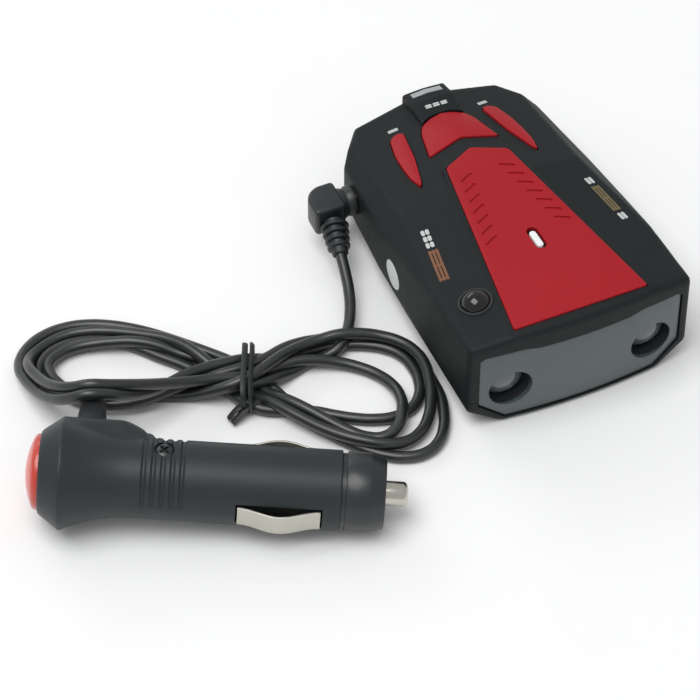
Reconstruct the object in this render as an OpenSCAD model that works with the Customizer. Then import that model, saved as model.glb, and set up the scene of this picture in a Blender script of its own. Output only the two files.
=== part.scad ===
// Car radar detector on its base, with its plug-in power lead: a right-angle
// low-voltage plug, a tied figure-of-eight of thin cord and a 12 V lighter plug.
// Millimetres. Origin at the middle of the detector's base, window face at -Y,
// buttons and display at +Y, power socket in the -X wall, +Z up.

/* [Detector body] */
// Length from the window face to the far end
body_l = 104; // [102:1:106]
// Width across the side walls at the window end
body_w = 66; // [65:0.5:66.5]
// Height of the crown plane over the middle of the base
crown_z = 30.8; // [30:0.2:32]
// Wall thickness of the two shells
wall = 2; // [1.8:0.1:2.2]
// Height of the joint between the two shells
seam_z = 10; // [9.5:0.1:10.2]
// Depth of the bow of the window face
bow_depth = 2.8; // [2:0.1:3.5]

/* [Buttons and lenses] */
// Travel of each top button
button_travel = 0.7; // [0.4:0.1:0.8]
// Gap round each top button
button_gap = 0.3; // [0.2:0.05:0.4]
// Height of the top buttons and the panel over the shell
proud = 0.5; // [0.3:0.1:0.8]
// Radius of the two laser eyes in the window
eye_r = 6.2; // [5.5:0.1:6.4]
// Sideways place of the laser eyes
eye_x = 21; // [20.5:0.1:21.5]
// Height of the laser eyes
eye_z = 12.6; // [12:0.1:13]

/* [Power socket and low-voltage plug] */
// Place of the socket along the body
socket_y = 30; // [29:0.5:30]
// Height of the socket's axis
socket_z = 13.5; // [13.5:0.1:13.8]
// Outer radius of the plug's metal barrel
barrel_r = 2.75; // [2.5:0.05:2.75]
// How far the plug pulls out
unplug_travel = 12; // [11:0.5:14]

/* [Cord] */
// Cord diameter
cord_d = 3.2; // [2.8:0.1:3.4]
// Height of the tied bundle of cord
bundle_h = 7.5; // [6:0.5:8]

/* [Lighter plug] */
// Radius of the plug's straight barrel
plug_r = 10.6; // [10.4:0.05:10.6]
// Radius of the flared rim at the button end
rim_r = 15; // [14:0.5:15]
// Radius of the band on the nose cap
nose_r = 10.4; // [10.2:0.05:10.4]
// Length from the button end of the housing to the tip's end
plug_l = 97; // [96:0.5:98]
// Angle of the plug across the surface
plug_turn = -26; // [-28:1:-24]
// Travel of the lighter plug's switch button
switch_travel = 1.5; // [1:0.1:2]

/* [Hidden] */
$fn = 96;

// Colours
charcoal = [0.14, 0.16, 0.17];
red_paint = [0.72, 0.12, 0.16];
smoke = [0.3, 0.34, 0.35];
nickel = [0.8, 0.79, 0.76];
board_green = [0.1, 0.35, 0.2];

// Planes of the body, each as [height over the origin, slope along X, slope along Y]
crown = [crown_z, 0, -0.045];
shoulder = [crown_z + 2, -0.17, -0.073];
far_slope = [crown_z + 2.8, -0.17, -0.19];
edge_cut = [56.1, -1, -0.2];
side_chamfer = [-15.3, 0.65, 0];
far_chamfer = [-26.4, 0, 0.6];

// Window face as an arc
half_w = body_w / 2;
bow_r = (half_w * half_w + bow_depth * bow_depth) / (2 * bow_depth);
bow_y = bow_r - body_l / 2;

// Right halves of the outlines, near end first; both() adds the left halves
plan_half = [
    [half_w, -60], [half_w, -10], [half_w - 0.5, 10], [half_w - 2.8, 38.5],
    [half_w - 11, 49.6], [0, body_l / 2]
];
panel_half = [[19.8, -48.4], [9.5, 15.6], [0, 20.4]];
middle_half = [[0, 26.2], [10.7, 23.6], [8.2, 34.5], [6.6, 37.4], [3.6, 39], [0, 39.4]];
window_half = [
    [0, 1.5], [22.4, 1.7], [30.2, 8.4], [30.2, 26], [28.6, 27.2], [17.5, 27.4],
    [13, 26.4], [0, 26.2]
];
slim_outline = [
    [17.9, 13.8], [18.8, 18.5], [18.7, 24.5], [18.2, 30], [16.6, 37.2], [14.2, 38.8],
    [12.2, 38], [14.2, 26], [17, 15.4]
];
board_half = [[23, -9], [23, 31], [15.5, 31], [15.5, 40.5], [0, 40.5]];

// Fittings inside the detector
case_screw_at = [[24, -22], [-24, -22], [24.5, 38.2], [-24.5, 38.2]];
board_screw_at = [[19, -3], [-19, -3]];
board_top = 10.2;
board_t = 1.6;
jack_x = -28.2;
jack_end = -20.8;
slim_stem = [16.6, 26];
middle_stem = [0, 32];
dome_at = [-24, -33.6];
pipe_at = [0.8, -19.8];
label_at = [0, 12.7];
speaker_at = [0, 20];

// Lighter plug: distances along its axis from the button end of the housing
rim_x = 6.5;
flare_end = 24;
hump_flat = 22;
hump_end = 33;
hump_h = 14.6;
stub_x = 12.8;
stub_end = 26.5;
screw_x = 33;
contact_x = 52.8;
contact_l = 21.6;
contact_w = 6.4;
cap_x = 79.5;
cap_end = plug_l - 6;
plug_bore = 8.6;
pocket_r = 10.2;
pocket_end = 5.8;
tip_r = 3.3;
plug_tilt = atan((rim_r - nose_r) / (cap_x + 7 - rim_x));
plug_at = [-147.5, -28, rim_r * cos(plug_tilt) + rim_x * sin(plug_tilt)];

// Low-voltage plug and cord
wall_x = -(half_w - 2.1);
plug_face_x = wall_x - 0.4;
relief_from = [-39.4, 25, 12.6];
relief_to = [-41.5, 15.5, 10];
run_route = [
    relief_to, [-42.2, 11, 8.3], [-43, 6, 6.4], [-44.5, 1, 5], [-47, -3.5, 4.2],
    [-49.5, -7.5, 4], [-51.6, -10.8, 4]
];
tail_route = [
    [-124.4, -9.8, 14.6], [-123.2, -7.2, 14.1], [-122.2, -4.9, 12.2],
    [-121.6, -3.5, 9.4], [-121.2, -2.6, 6.4], [-120.8, -1.4, 4.4]
];
bundle_at = [-80, -9.6];
bundle_turn = -26.7;
waist = 6.6;

function unit(v) = v / norm(v);
function out_normal(a, b) = unit([b[1] - a[1], a[0] - b[0]]);
function both(h) = concat(h, [for (i = [len(h) - 1:-1:0]) if (h[i][0] > 0) [-h[i][0], h[i][1]]]);
function flip(p) = [for (i = [len(p) - 1:-1:0]) [-p[i][0], p[i][1]]];
// Outline p moved outwards by d
function grow(p, d) = [
    for (i = [0:len(p) - 1])
        let (
            m = out_normal(p[(i + len(p) - 1) % len(p)], p[i]),
            n = out_normal(p[i], p[(i + 1) % len(p)])
        )
        p[i] + d * (m + n) / (1 + m * n)
];
function flare(x) = plug_r + (rim_r - plug_r) * pow((flare_end - x) / (flare_end - rim_x), 2);

// ---- planes and outlines -------------------------------------------------

// Turns the Z axis onto the normal of a plane
module on_slope(p) {
    n = norm([1, p[1], p[2]]);
    rotate([asin(p[2] / n), -atan(p[1]), 0]) children();
}

// Everything above a plane raised by lift along its normal
module above(p, lift = 0) {
    translate([0, 0, p[0] + lift * norm([1, p[1], p[2]])])
        on_slope(p) translate([-150, -150, 0]) cube(300);
}

module below(p, lift = 0) {
    translate([0, 0, p[0] + lift * norm([1, p[1], p[2]])])
        on_slope(p) translate([-150, -150, -300]) cube(300);
}

module both_above(p, lift = 0) {
    above(p, lift);
    above([p[0], -p[1], p[2]], lift);
}

// Children set on a plane at a place over the base
module at_surface(p, at) {
    translate([at[0], at[1], p[0] + p[1] * at[0] + p[2] * at[1]]) on_slope(p) children();
}

module plan(t = 0) {
    intersection() {
        polygon(grow(both(plan_half), -t));
        translate([0, bow_y]) circle(r = bow_r - t, $fn = 360);
    }
}

// Whole body moved inwards by t
module body_block(t = 0) {
    difference() {
        translate([0, 0, t]) linear_extrude(45) plan(t);
        above(crown, -t);
        both_above(shoulder, -t);
        both_above(far_slope, -t);
        both_above(edge_cut, -t);
        below(side_chamfer, t);
        below([side_chamfer[0], -side_chamfer[1], 0], t);
        below(far_chamfer, t);
    }
}

module prism(outline, z0, z1) {
    translate([0, 0, z0]) linear_extrude(z1 - z0) polygon(outline);
}

// Outline in X and Z pushed along Y
module across(outline, y0, y1) {
    translate([0, y1, 0]) rotate([90, 0, 0]) linear_extrude(y1 - y0) polygon(outline);
}

module slot(l, w, h) {
    linear_extrude(h) {
        square([w, l - w], center = true);
        for (s = [-1, 1]) translate([0, s * (l - w) / 2]) circle(d = w);
    }
}

// Cylinder along Y from y0 to y1
module y_cylinder(x, z, y0, y1, r) {
    translate([x, y1, z]) rotate([90, 0, 0]) cylinder(h = y1 - y0, r = r);
}

module behind_window(d) {
    translate([0, bow_y, -5]) cylinder(h = 60, r = bow_r - d, $fn = 360);
}

// ---- detector shells -----------------------------------------------------

// Pod over the rear lens, at the far end of the ridge
module rear_pod() {
    intersection() {
        translate([-6.5, 0, 0]) rotate([90, 0, 90]) linear_extrude(13)
            polygon([[36, 20], [36, 26], [45, 27.4], [body_l / 2, 25.2], [body_l / 2, 20]]);
        linear_extrude(60) plan();
    }
}

// Raised bed under the red panel
module panel_bed() {
    difference() {
        prism(grow(both(panel_half), 1), 22, 40);
        above(crown);
    }
}

module button_openings() {
    prism(grow(both(middle_half), button_gap), 14, 45);
    prism(grow(slim_outline, button_gap), 14, 45);
    prism(grow(flip(slim_outline), button_gap), 14, 45);
}

module window_opening() {
    intersection() {
        across(both(window_half), -60, -40);
        difference() {
            translate([-50, -60, 0]) cube([100, 20, 40]);
            behind_window(2.4);
        }
    }
}

module display_opening() {
    difference() {
        translate([-17, 40, 7]) cube([34, 20, 11]);
        linear_extrude(40) plan(3);
    }
}

// Children along the power socket's axis, from x inwards
module socket_axis(x) {
    translate([x, socket_y, socket_z]) rotate([0, 90, 0]) children();
}

module side_label_shape(t0, t1) {
    intersection() {
        difference() {
            linear_extrude(40) plan(t0);
            linear_extrude(40) plan(t1);
        }
        translate([-40, label_at[0], label_at[1]]) rotate([0, 90, 0]) cylinder(h = 15, r = 4.5);
    }
}

module top_shell() {
    color(charcoal) difference() {
        union() {
            difference() {
                union() {
                    body_block();
                    rear_pod();
                    panel_bed();
                }
                body_block(wall);
            }
            intersection() {
                for (p = case_screw_at) translate([p[0], p[1], seam_z]) cylinder(h = 40, r = 3);
                body_block(wall / 2);
            }
        }
        translate([-60, -70, -10]) cube([120, 140, seam_z + 10]);
        window_opening();
        display_opening();
        button_openings();
        difference() {
            prism(both(panel_half), 22, 45);
            below(crown, -0.9);
        }
        translate([pipe_at[0], pipe_at[1], 20]) slot(6.4, 2, 20);
        at_surface([shoulder[0], 0.17, shoulder[2]], dome_at) {
            translate([0, 0, -6]) cylinder(h = 10, r = 4.9);
        }
        side_label_shape(-1, 0.3);
        socket_axis(wall_x - 5) cylinder(h = 9, r = 3.9);
        translate([0, 48.1, 0]) rear_lens_shape(20, 40);
        for (p = case_screw_at) translate([p[0], p[1], seam_z - 1]) cylinder(h = 8, r = 1.1);
    }
}

module bottom_shell() {
    color(charcoal) difference() {
        union() {
            difference() {
                body_block();
                body_block(wall);
            }
            intersection() {
                for (p = case_screw_at) translate([p[0], p[1], 0]) cylinder(h = 40, r = 3.4);
                body_block(wall / 2);
            }
            for (p = board_screw_at)
                translate([p[0], p[1], 1]) cylinder(h = board_top - board_t - 1, r = 2.4);
        }
        translate([-60, -70, seam_z]) cube([120, 140, 60]);
        window_opening();
        display_opening();
        for (i = [-3:3]) translate([speaker_at[0] + 3.4 * i - 0.8, speaker_at[1] - 8, -1])
            cube([1.6, 16, 5]);
        for (p = case_screw_at) {
            translate([p[0], p[1], -1]) cylinder(h = 30, r = 1.5);
            translate([p[0], p[1], -1]) cylinder(h = 4, r = 2.7);
        }
        for (p = board_screw_at) translate([p[0], p[1], 4]) cylinder(h = 10, r = 1);
        translate([-16, -30, -1]) cube([32, 16, 1.3]);
        side_label_shape(-1, 0.3);
        socket_axis(wall_x - 5) cylinder(h = 9, r = 3.9);
    }
}

// ---- window, lenses and panel --------------------------------------------

module front_window() {
    color(smoke) difference() {
        intersection() {
            across(both(window_half), -60, -40);
            difference() {
                behind_window(0.5);
                behind_window(2.3);
            }
        }
        for (s = [-1, 1]) y_cylinder(s * eye_x, eye_z, -60, -40, eye_r);
    }
}

module lens_cups() {
    color([0.1, 0.11, 0.12]) for (s = [-1, 1]) difference() {
        intersection() {
            y_cylinder(s * eye_x, eye_z, -60, -40, eye_r + 1.2);
            behind_window(2.3);
        }
        y_cylinder(s * eye_x, eye_z, -60, -42, eye_r - 0.2);
        y_cylinder(s * eye_x, eye_z, -43, -39, 2.6);
    }
}

module laser_lens(s) {
    color([0.35, 0.38, 0.42]) intersection() {
        y_cylinder(s * eye_x, eye_z, -60, -43.4, eye_r - 0.2);
        translate([s * eye_x, -38.6, eye_z]) sphere(r = 8.6);
    }
}

module laser_sensors() {
    color([0.12, 0.12, 0.14]) for (s = [-1, 1])
        y_cylinder(s * eye_x, eye_z, -42.8, -38.6, 2.6);
}

// Slanted louvres in two columns, rows counted from the far end
module louvres() {
    for (s = [-1, 1], i = [0:6])
        translate([s * (6.2 + 0.75 * i), 9.5 - 4.2 * i, crown_z - 4]) rotate([0, 0, -s * 28])
            translate([-2.2, -0.5, 0]) cube([4.4, 1, 10]);
}

module red_panel() {
    color(red_paint) difference() {
        prism(both(panel_half), 22, 45);
        above(crown, proud);
        below(crown, -0.9);
        difference() {
            louvres();
            below(crown, proud - 0.5);
        }
        translate([pipe_at[0], pipe_at[1], 20]) slot(8.6, 3.2, 20);
    }
}

module light_pipe() {
    color([0.9, 0.92, 0.92]) difference() {
        translate([pipe_at[0], pipe_at[1], 26]) slot(6.4, 2, 14);
        above(crown, 0.1);
    }
}

module sensor_dome() {
    color([0.05, 0.05, 0.06]) at_surface([shoulder[0], 0.17, shoulder[2]], dome_at)
        intersection() {
            translate([0, 0, -1.6]) cylinder(h = 10, r = 4);
            translate([0, 0, -1.4]) sphere(r = 4.4);
        }
}

module dome_ring() {
    color([0.1, 0.1, 0.11]) at_surface([shoulder[0], 0.17, shoulder[2]], dome_at)
        difference() {
            translate([0, 0, -2.6]) cylinder(h = 3.1, r = 4.9);
            translate([0, 0, -1.6]) cylinder(h = 3.1, r = 4);
            translate([0, 0, -3]) cylinder(h = 3, r = 2.6);
        }
}

// Chevron that follows the far edge of the pod
module rear_lens_shape(z0, z1) {
    prism([[-4.6, -0.5], [0, 0], [4.6, -0.5], [4.6, 1.7], [0, 2.2], [-4.6, 1.7]], z0, z1);
}

module rear_lens() {
    color([0.85, 0.88, 0.9]) intersection() {
        translate([0, 48.1, 0]) rear_lens_shape(23.5, 40);
        translate([-10, 0, 0]) rotate([90, 0, 90]) linear_extrude(20)
            polygon([[40, 20], [40, 29.4], [body_l / 2, 25.6], [body_l / 2, 20]]);
    }
}

module display_window() {
    color([0.12, 0.1, 0.12]) intersection() {
        translate([-17, 40, 7]) cube([34, 20, 11]);
        difference() {
            linear_extrude(40) plan(0.4);
            linear_extrude(40) plan(1.9);
        }
    }
}

// ---- inside the detector -------------------------------------------------

module display_module() {
    color([0.2, 0.2, 0.22]) difference() {
        translate([-15, 42, 6.6]) cube([30, 5, 11]);
        for (i = [-1:1]) translate([9 * i - 3.2, 46, 8.6]) cube([6.4, 2, 7]);
    }
}

module main_board() {
    color(board_green) difference() {
        prism(both(board_half), board_top - board_t, board_top);
        for (p = board_screw_at) translate([p[0], p[1], 0]) cylinder(h = 20, r = 1.2);
    }
}

module horn_antenna() {
    color([0.7, 0.71, 0.72]) difference() {
        translate([-12.5, -45, 5]) cube([25, 33, 17]);
        intersection() {
            translate([0, 0, 4]) linear_extrude(20)
                polygon([[-11, -46], [11, -46], [4, -26], [4, -16], [-4, -16], [-4, -26]]);
            translate([-20, 0, 0]) rotate([90, 0, 90]) linear_extrude(40)
                polygon([[-46, 6.2], [-46, 20.8], [-26, 15.5], [-16, 15.5], [-16, 11.5], [-26, 11.5]]);
        }
    }
}

module antenna_board() {
    color(board_green) translate([-12, -43, 22]) cube([24, 32, 1.2]);
}

module speaker() {
    color([0.16, 0.16, 0.17]) translate([speaker_at[0], speaker_at[1], wall]) {
        difference() {
            cylinder(h = 3.2, r = 13);
            translate([0, 0, -1]) cylinder(h = 3.2, r = 11.4);
        }
        translate([0, 0, 3.2]) cylinder(h = 2.6, r = 7);
    }
}

module dc_jack() {
    color([0.1, 0.1, 0.1]) difference() {
        union() {
            translate([jack_x, socket_y - 4.5, board_top]) cube([8, 9, 6.6]);
            socket_axis(wall_x + 0.1) cylinder(h = 4, r = 3.8);
        }
        difference() {
            socket_axis(wall_x - 1) cylinder(h = jack_end - wall_x + 1, r = barrel_r + 0.1);
            socket_axis(jack_x + 0.4) cylinder(h = 20, r = 0.65);
        }
    }
}

module button_switches() {
    color([0.2, 0.2, 0.2])
        for (p = [slim_stem, middle_stem, [-slim_stem[0], slim_stem[1]]])
            translate([p[0], p[1], board_top]) {
                translate([-3, -3, 0]) cube([6, 6, 3.8]);
                cylinder(h = 4.6, r = 1.6);
            }
}

module case_screws() {
    color(nickel) for (p = case_screw_at) translate([p[0], p[1], 1.4]) {
        difference() {
            cylinder(h = 1.6, r = 2.4);
            for (a = [0, 90]) rotate([0, 0, a]) translate([-1.5, -0.3, -1]) cube([3, 0.6, 1.8]);
        }
        translate([0, 0, 1.6]) cylinder(h = 12, r = 1.1);
    }
}

module board_screws() {
    color(nickel) for (p = board_screw_at) translate([p[0], p[1], 0]) {
        translate([0, 0, 4.2]) cylinder(h = board_top - 4.2, r = 1);
        translate([0, 0, board_top]) cylinder(h = 1.4, r = 2);
    }
}

module rating_label() {
    color([0.8, 0.8, 0.8]) translate([-15.5, -29.5, 0.1]) cube([31, 15, 0.2]);
}

module side_label() {
    color([0.85, 0.87, 0.86]) side_label_shape(0.05, 0.3);
}

// ---- top buttons ---------------------------------------------------------

module button(outline, stem) {
    color(red_paint) {
        difference() {
            prism(outline, 20.4, 45);
            both_above(far_slope, proud);
        }
        translate([0, 0, 19]) linear_extrude(1.4) polygon(grow(outline, 0.9));
        translate([stem[0], stem[1], board_top + 4.7 + button_travel]) cylinder(h = 6, r = 1.5);
    }
}

module left_button() { button(flip(slim_outline), [-slim_stem[0], slim_stem[1]]); }
module middle_button() { button(both(middle_half), middle_stem); }
module right_button() { button(slim_outline, slim_stem); }

// ---- low-voltage plug ----------------------------------------------------

module dc_plug_barrel() {
    color(nickel) socket_axis(plug_face_x) difference() {
        cylinder(h = 9.8, r = barrel_r);
        translate([0, 0, -1]) cylinder(h = 20, r = 2.1);
    }
}

module dc_plug_insulator() {
    color([0.1, 0.1, 0.1]) socket_axis(plug_face_x) difference() {
        cylinder(h = 9.4, r = 2.1);
        translate([0, 0, 1]) cylinder(h = 20, r = 1.05);
    }
}

module dc_plug_body() {
    color([0.1, 0.11, 0.12]) {
        socket_axis(plug_face_x - 4) cylinder(h = 4, r = 4.4);
        translate([plug_face_x - 12, socket_y, socket_z]) {
            translate([4, 0, -4.6]) cylinder(h = 9.2, r = 5.2);
            translate([-1.2, -5, -4.6]) cube([9.2, 5, 9.2]);
            translate([4, -5.2, -4.6]) cube([4, 10.4, 9.2]);
        }
    }
}

// Tapered sleeve with raised ribs, from relief_from to relief_to
module dc_strain_relief() {
    d = relief_to - relief_from;
    l = norm(d);
    color([0.1, 0.11, 0.12]) translate(relief_from)
        rotate([0, acos(d[2] / l), atan2(d[1], d[0])]) {
            cylinder(h = l, r1 = 2.9, r2 = 2.2);
            for (i = [0:3]) translate([0, 0, 1.2 + 2.2 * i]) cylinder(h = 1.1, r = 3.9 - 0.25 * i);
        }
}

// ---- cord ----------------------------------------------------------------

// Closed eight-sided tube through the points of a route
module tube(route, d) {
    n = len(route);
    sides = 8;
    points = [
        for (i = [0:n - 1])
            let (
                t = unit(route[min(i + 1, n - 1)] - route[max(i - 1, 0)]),
                u = unit(cross(t, [0, 0, 1])),
                v = cross(u, t)
            )
            for (k = [0:sides - 1])
                route[i] + d / 2 * (cos(360 * k / sides) * u + sin(360 * k / sides) * v)
    ];
    faces = concat(
        [[for (k = [0:sides - 1]) k]],
        [
            for (i = [0:n - 2], k = [0:sides - 1])
                let (a = sides * i + k, b = sides * i + (k + 1) % sides)
                [a, a + sides, b + sides, b]
        ],
        [[for (k = [sides - 1:-1:0]) sides * (n - 1) + k]]
    );
    polyhedron(points, faces);
}

module cord_run() { color([0.08, 0.09, 0.09]) tube(run_route, cord_d); }
module cord_tail() { color([0.08, 0.09, 0.09]) tube(tail_route, cord_d); }

// Outline of one side of a lobe: from the waist to the round end
function lobe(l, top, low) = [
    for (a = [-90:15:90])
        let (r = a < 0 ? low : top)
        [l - r * 0.9 + r * 0.9 * cos(a), r * sin(a)]
];

module bundle_outline() {
    polygon(concat(
        [[8, -waist]], lobe(49.5, 15, 20), [[8, waist], [-8, waist]],
        [for (p = lobe(62, 12.5, 14)) [-p[0], -p[1]]], [[-8, -waist]]
    ));
}

module bundle_frame() {
    translate([bundle_at[0], bundle_at[1], 0]) rotate([0, 0, bundle_turn]) children();
}

module cord_bundle() {
    color([0.08, 0.09, 0.09]) bundle_frame() translate([0, 0, 0.8])
        linear_extrude(bundle_h - 0.8) bundle_outline();
}

module cord_tie() {
    color([0.05, 0.05, 0.05]) bundle_frame() difference() {
        translate([-2.5, -waist - 1, 0]) cube([5, 2 * waist + 2, bundle_h + 0.8]);
        translate([-3, -waist, 0.8]) cube([6, 2 * waist, bundle_h - 0.8]);
    }
}

// ---- lighter plug --------------------------------------------------------

// Local frame of the plug: X along its axis from the button end to the tip
module plug_frame() {
    translate(plug_at) rotate([0, plug_tilt, plug_turn]) children();
}

// Solid of revolution about X from a list of [x, radius]
module turned(profile) {
    rotate([0, 90, 0]) rotate_extrude() polygon([for (p = profile) [p[1], p[0]]]);
}

module x_cylinder(x0, x1, r) {
    translate([x0, 0, 0]) rotate([0, 90, 0]) cylinder(h = x1 - x0, r = r);
}

module plug_skin() {
    turned(concat(
        [[0.8, 0], [0.8, pocket_r + 0.7]],
        [for (i = [0:7]) let (x = rim_x + (flare_end - rim_x) * i / 7) [x, flare(x)]],
        [[cap_x, plug_r], [cap_x, 0]]
    ));
    intersection() {
        translate([0, 0, -9]) linear_extrude(18)
            polygon([[rim_x, 0], [rim_x, hump_h], [hump_flat, hump_h], [hump_flat + 3, hump_h - 0.8],
                [hump_end - 3, plug_r + 0.7], [hump_end, plug_r - 0.3], [hump_end, 0]]);
        x_cylinder(rim_x, hump_end, rim_r);
    }
}

module plug_cavity() {
    x_cylinder(-1, pocket_end, pocket_r);
    x_cylinder(pocket_end - 1, cap_x + 1, plug_bore);
    for (s = [-1, 1]) translate([contact_x - 0.5, s * 10 - 5, -contact_w / 2 - 0.4])
        cube([contact_l + 1, 10, contact_w + 0.8]);
    translate([stub_x, 0, 0]) rotate([-90, 0, 0]) cylinder(h = 20, r = 3.2);
    for (i = [-2:2]) translate([screw_x + 2.5 * i, 0, 0]) grip_groove();
}

// Shallow groove round the upper part of the grip
module grip_groove() {
    intersection() {
        difference() {
            x_cylinder(-0.5, 0.5, plug_r + 5);
            x_cylinder(-1, 1, plug_r - 0.45);
        }
        translate([-1, -14, 1.5]) cube([2, 28, 20]);
    }
}

module screw_post() {
    translate([screw_x, 2, -plug_bore + 0.2]) cylinder(h = 2 * plug_bore - 0.4, r = 3.2);
}

module plug_halves() {
    difference() {
        union() {
            difference() {
                plug_skin();
                plug_cavity();
            }
            intersection() {
                screw_post();
                x_cylinder(screw_x - 5, screw_x + 5, plug_bore + 0.5);
            }
        }
        translate([screw_x, 2, 8.6]) cylinder(h = 10, r = 2.7);
        translate([screw_x, 2, -5]) cylinder(h = 20, r = 1.1);
    }
}

module plug_upper_half() {
    color(charcoal) plug_frame() intersection() {
        plug_halves();
        translate([-5, -20, 0]) cube([120, 40, 25]);
    }
}

module plug_lower_half() {
    color(charcoal) plug_frame() intersection() {
        plug_halves();
        translate([-5, -20, -25]) cube([120, 40, 25]);
    }
}

module plug_relief() {
    color([0.08, 0.09, 0.09]) plug_frame() translate([stub_x, 0, 0]) rotate([-90, 0, 0]) {
        translate([0, 0, 8.8]) cylinder(h = hump_h - 8.8, r = 3.2);
        translate([0, 0, hump_h]) cylinder(h = stub_end - hump_h, r1 = 4.3, r2 = 3.15);
    }
}

module plug_screw() {
    color([0.3, 0.3, 0.3]) plug_frame() translate([screw_x, 2, 0]) difference() {
        union() {
            translate([0, 0, 8.6]) cylinder(h = 1.3, r = 2.4);
            translate([0, 0, -4.8]) cylinder(h = 13.4, r = 1.1);
        }
        for (a = [45, 135]) rotate([0, 0, a]) translate([-1.5, -0.3, 9.2]) cube([3, 0.6, 2]);
    }
}

module switch_button() {
    color([0.85, 0.25, 0.2]) plug_frame() intersection() {
        x_cylinder(-5, 4, pocket_r - 0.2);
        translate([18.6, 0, 0]) sphere(r = 21.6, $fn = 180);
    }
}

module switch_module() {
    color([0.15, 0.15, 0.15]) plug_frame() x_cylinder(6, 14, 8);
}

module plug_board() {
    color(board_green) plug_frame() translate([16, -7, -4.6]) cube([12, 14, 1.2]);
}

module fuse() {
    color([0.75, 0.78, 0.78]) plug_frame() x_cylinder(cap_end - 38.6, cap_end - 8.6, 3);
}

module tip_spring() {
    color(nickel) plug_frame() difference() {
        x_cylinder(cap_end - 50.6, cap_end - 38.6, 3);
        x_cylinder(cap_end - 51.6, cap_end - 37.6, 2.3);
    }
}

module nose_cap() {
    color([0.12, 0.13, 0.14]) plug_frame() difference() {
        turned([
            [cap_x - 4, 0], [cap_x - 4, plug_bore - 0.2], [cap_x, plug_bore - 0.2],
            [cap_x, nose_r - 0.5], [cap_x + 1.2, nose_r - 0.5], [cap_x + 1.2, nose_r],
            [cap_x + 7.6, nose_r], [cap_x + 8.2, nose_r - 0.3], [cap_end, nose_r - 1],
            [cap_end, 0]
        ]);
        x_cylinder(cap_x - 5, cap_end - 2, 5);
        x_cylinder(cap_x, cap_end + 1, tip_r + 0.1);
    }
}

module centre_tip() {
    color(nickel) plug_frame() {
        x_cylinder(cap_end - 8.6, cap_end - 2.2, 4.6);
        turned([
            [cap_end - 2.2, 0], [cap_end - 2.2, tip_r], [plug_l - 1, tip_r],
            [plug_l - 0.3, tip_r - 0.3], [plug_l, tip_r - 1], [plug_l, 0]
        ]);
    }
}

// Bowed strip with its ends turned into the barrel, s gives the side
module side_contact(s) {
    rise = 2.4;
    t = 0.6;
    bow = [for (i = [0:12]) [contact_l * i / 12, rise * pow(sin(180 * i / 12), 2)]];
    low = [for (i = [12:-1:0]) [bow[i][0], bow[i][1] - t]];
    color(nickel) plug_frame() mirror([0, s > 0 ? 0 : 1, 0])
        translate([contact_x, plug_r + 0.3, -contact_w / 2])
            linear_extrude(contact_w) polygon(concat(low, [for (i = [0:12]) bow[i]]));
}

module side_contact_near() { side_contact(-1); }
module side_contact_far() { side_contact(1); }

top_shell();
bottom_shell();
front_window();
lens_cups();
laser_lens(-1);  // laser_lens_left
laser_lens(1);  // laser_lens_right
laser_sensors();
red_panel();
light_pipe();
sensor_dome();
dome_ring();
rear_lens();
display_window();
display_module();
main_board();
horn_antenna();
antenna_board();
speaker();
dc_jack();
button_switches();
case_screws();
board_screws();
rating_label();
side_label();
left_button();
middle_button();
right_button();
dc_plug_barrel();
dc_plug_insulator();
dc_plug_body();
dc_strain_relief();
cord_run();
cord_bundle();
cord_tie();
cord_tail();
plug_relief();
plug_upper_half();
plug_lower_half();
plug_screw();
switch_button();
switch_module();
plug_board();
fuse();
tip_spring();
nose_cap();
centre_tip();
side_contact_near();
side_contact_far();
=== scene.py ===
import math

import bmesh
import bpy
from bpy.props import FloatProperty, FloatVectorProperty, IntProperty, PointerProperty
from mathutils import Matrix, Vector, kdtree
from mathutils.bvhtree import BVHTree


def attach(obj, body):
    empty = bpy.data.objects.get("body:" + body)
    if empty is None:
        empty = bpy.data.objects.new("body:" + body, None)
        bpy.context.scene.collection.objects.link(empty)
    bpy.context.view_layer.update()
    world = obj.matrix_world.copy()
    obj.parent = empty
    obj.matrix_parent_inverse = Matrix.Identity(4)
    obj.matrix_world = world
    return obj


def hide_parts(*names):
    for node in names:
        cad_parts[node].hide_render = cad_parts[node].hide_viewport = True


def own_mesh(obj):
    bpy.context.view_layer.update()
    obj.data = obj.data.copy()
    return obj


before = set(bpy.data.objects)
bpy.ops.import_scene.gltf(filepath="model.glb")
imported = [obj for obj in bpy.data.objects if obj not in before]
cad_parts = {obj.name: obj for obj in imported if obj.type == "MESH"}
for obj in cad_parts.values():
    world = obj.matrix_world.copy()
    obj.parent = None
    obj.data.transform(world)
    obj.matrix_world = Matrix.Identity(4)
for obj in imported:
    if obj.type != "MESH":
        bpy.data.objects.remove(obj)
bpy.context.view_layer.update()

bl_info = {
    "name": "Car radar detector and lighter-plug lead",
    "version": (1, 0, 0),
    "blender": (4, 5, 0),
    "location": "3D View > Sidebar > Detector",
    "description": "Shells, window, buttons, tied cord and lighter plug on a fixed CAD frame",
    "category": "Add Mesh",
}

# Outlines and places are in millimetres, and each finished mesh is scaled by MM
MM = 0.001

# Planes of the detector: height over the origin, slope along X (for +X), slope along Y
CROWN = (30.8, 0.0, -0.045)
SHOULDER = (32.8, -0.17, -0.073)
FAR_SLOPE = (33.6, -0.17, -0.19)
EDGE_CUT = (56.1, -1.0, -0.2)
SIDE_CHAMFER = (-15.3, 0.65, 0.0)
FAR_CHAMFER = (-26.4, 0.0, 0.6)

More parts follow.
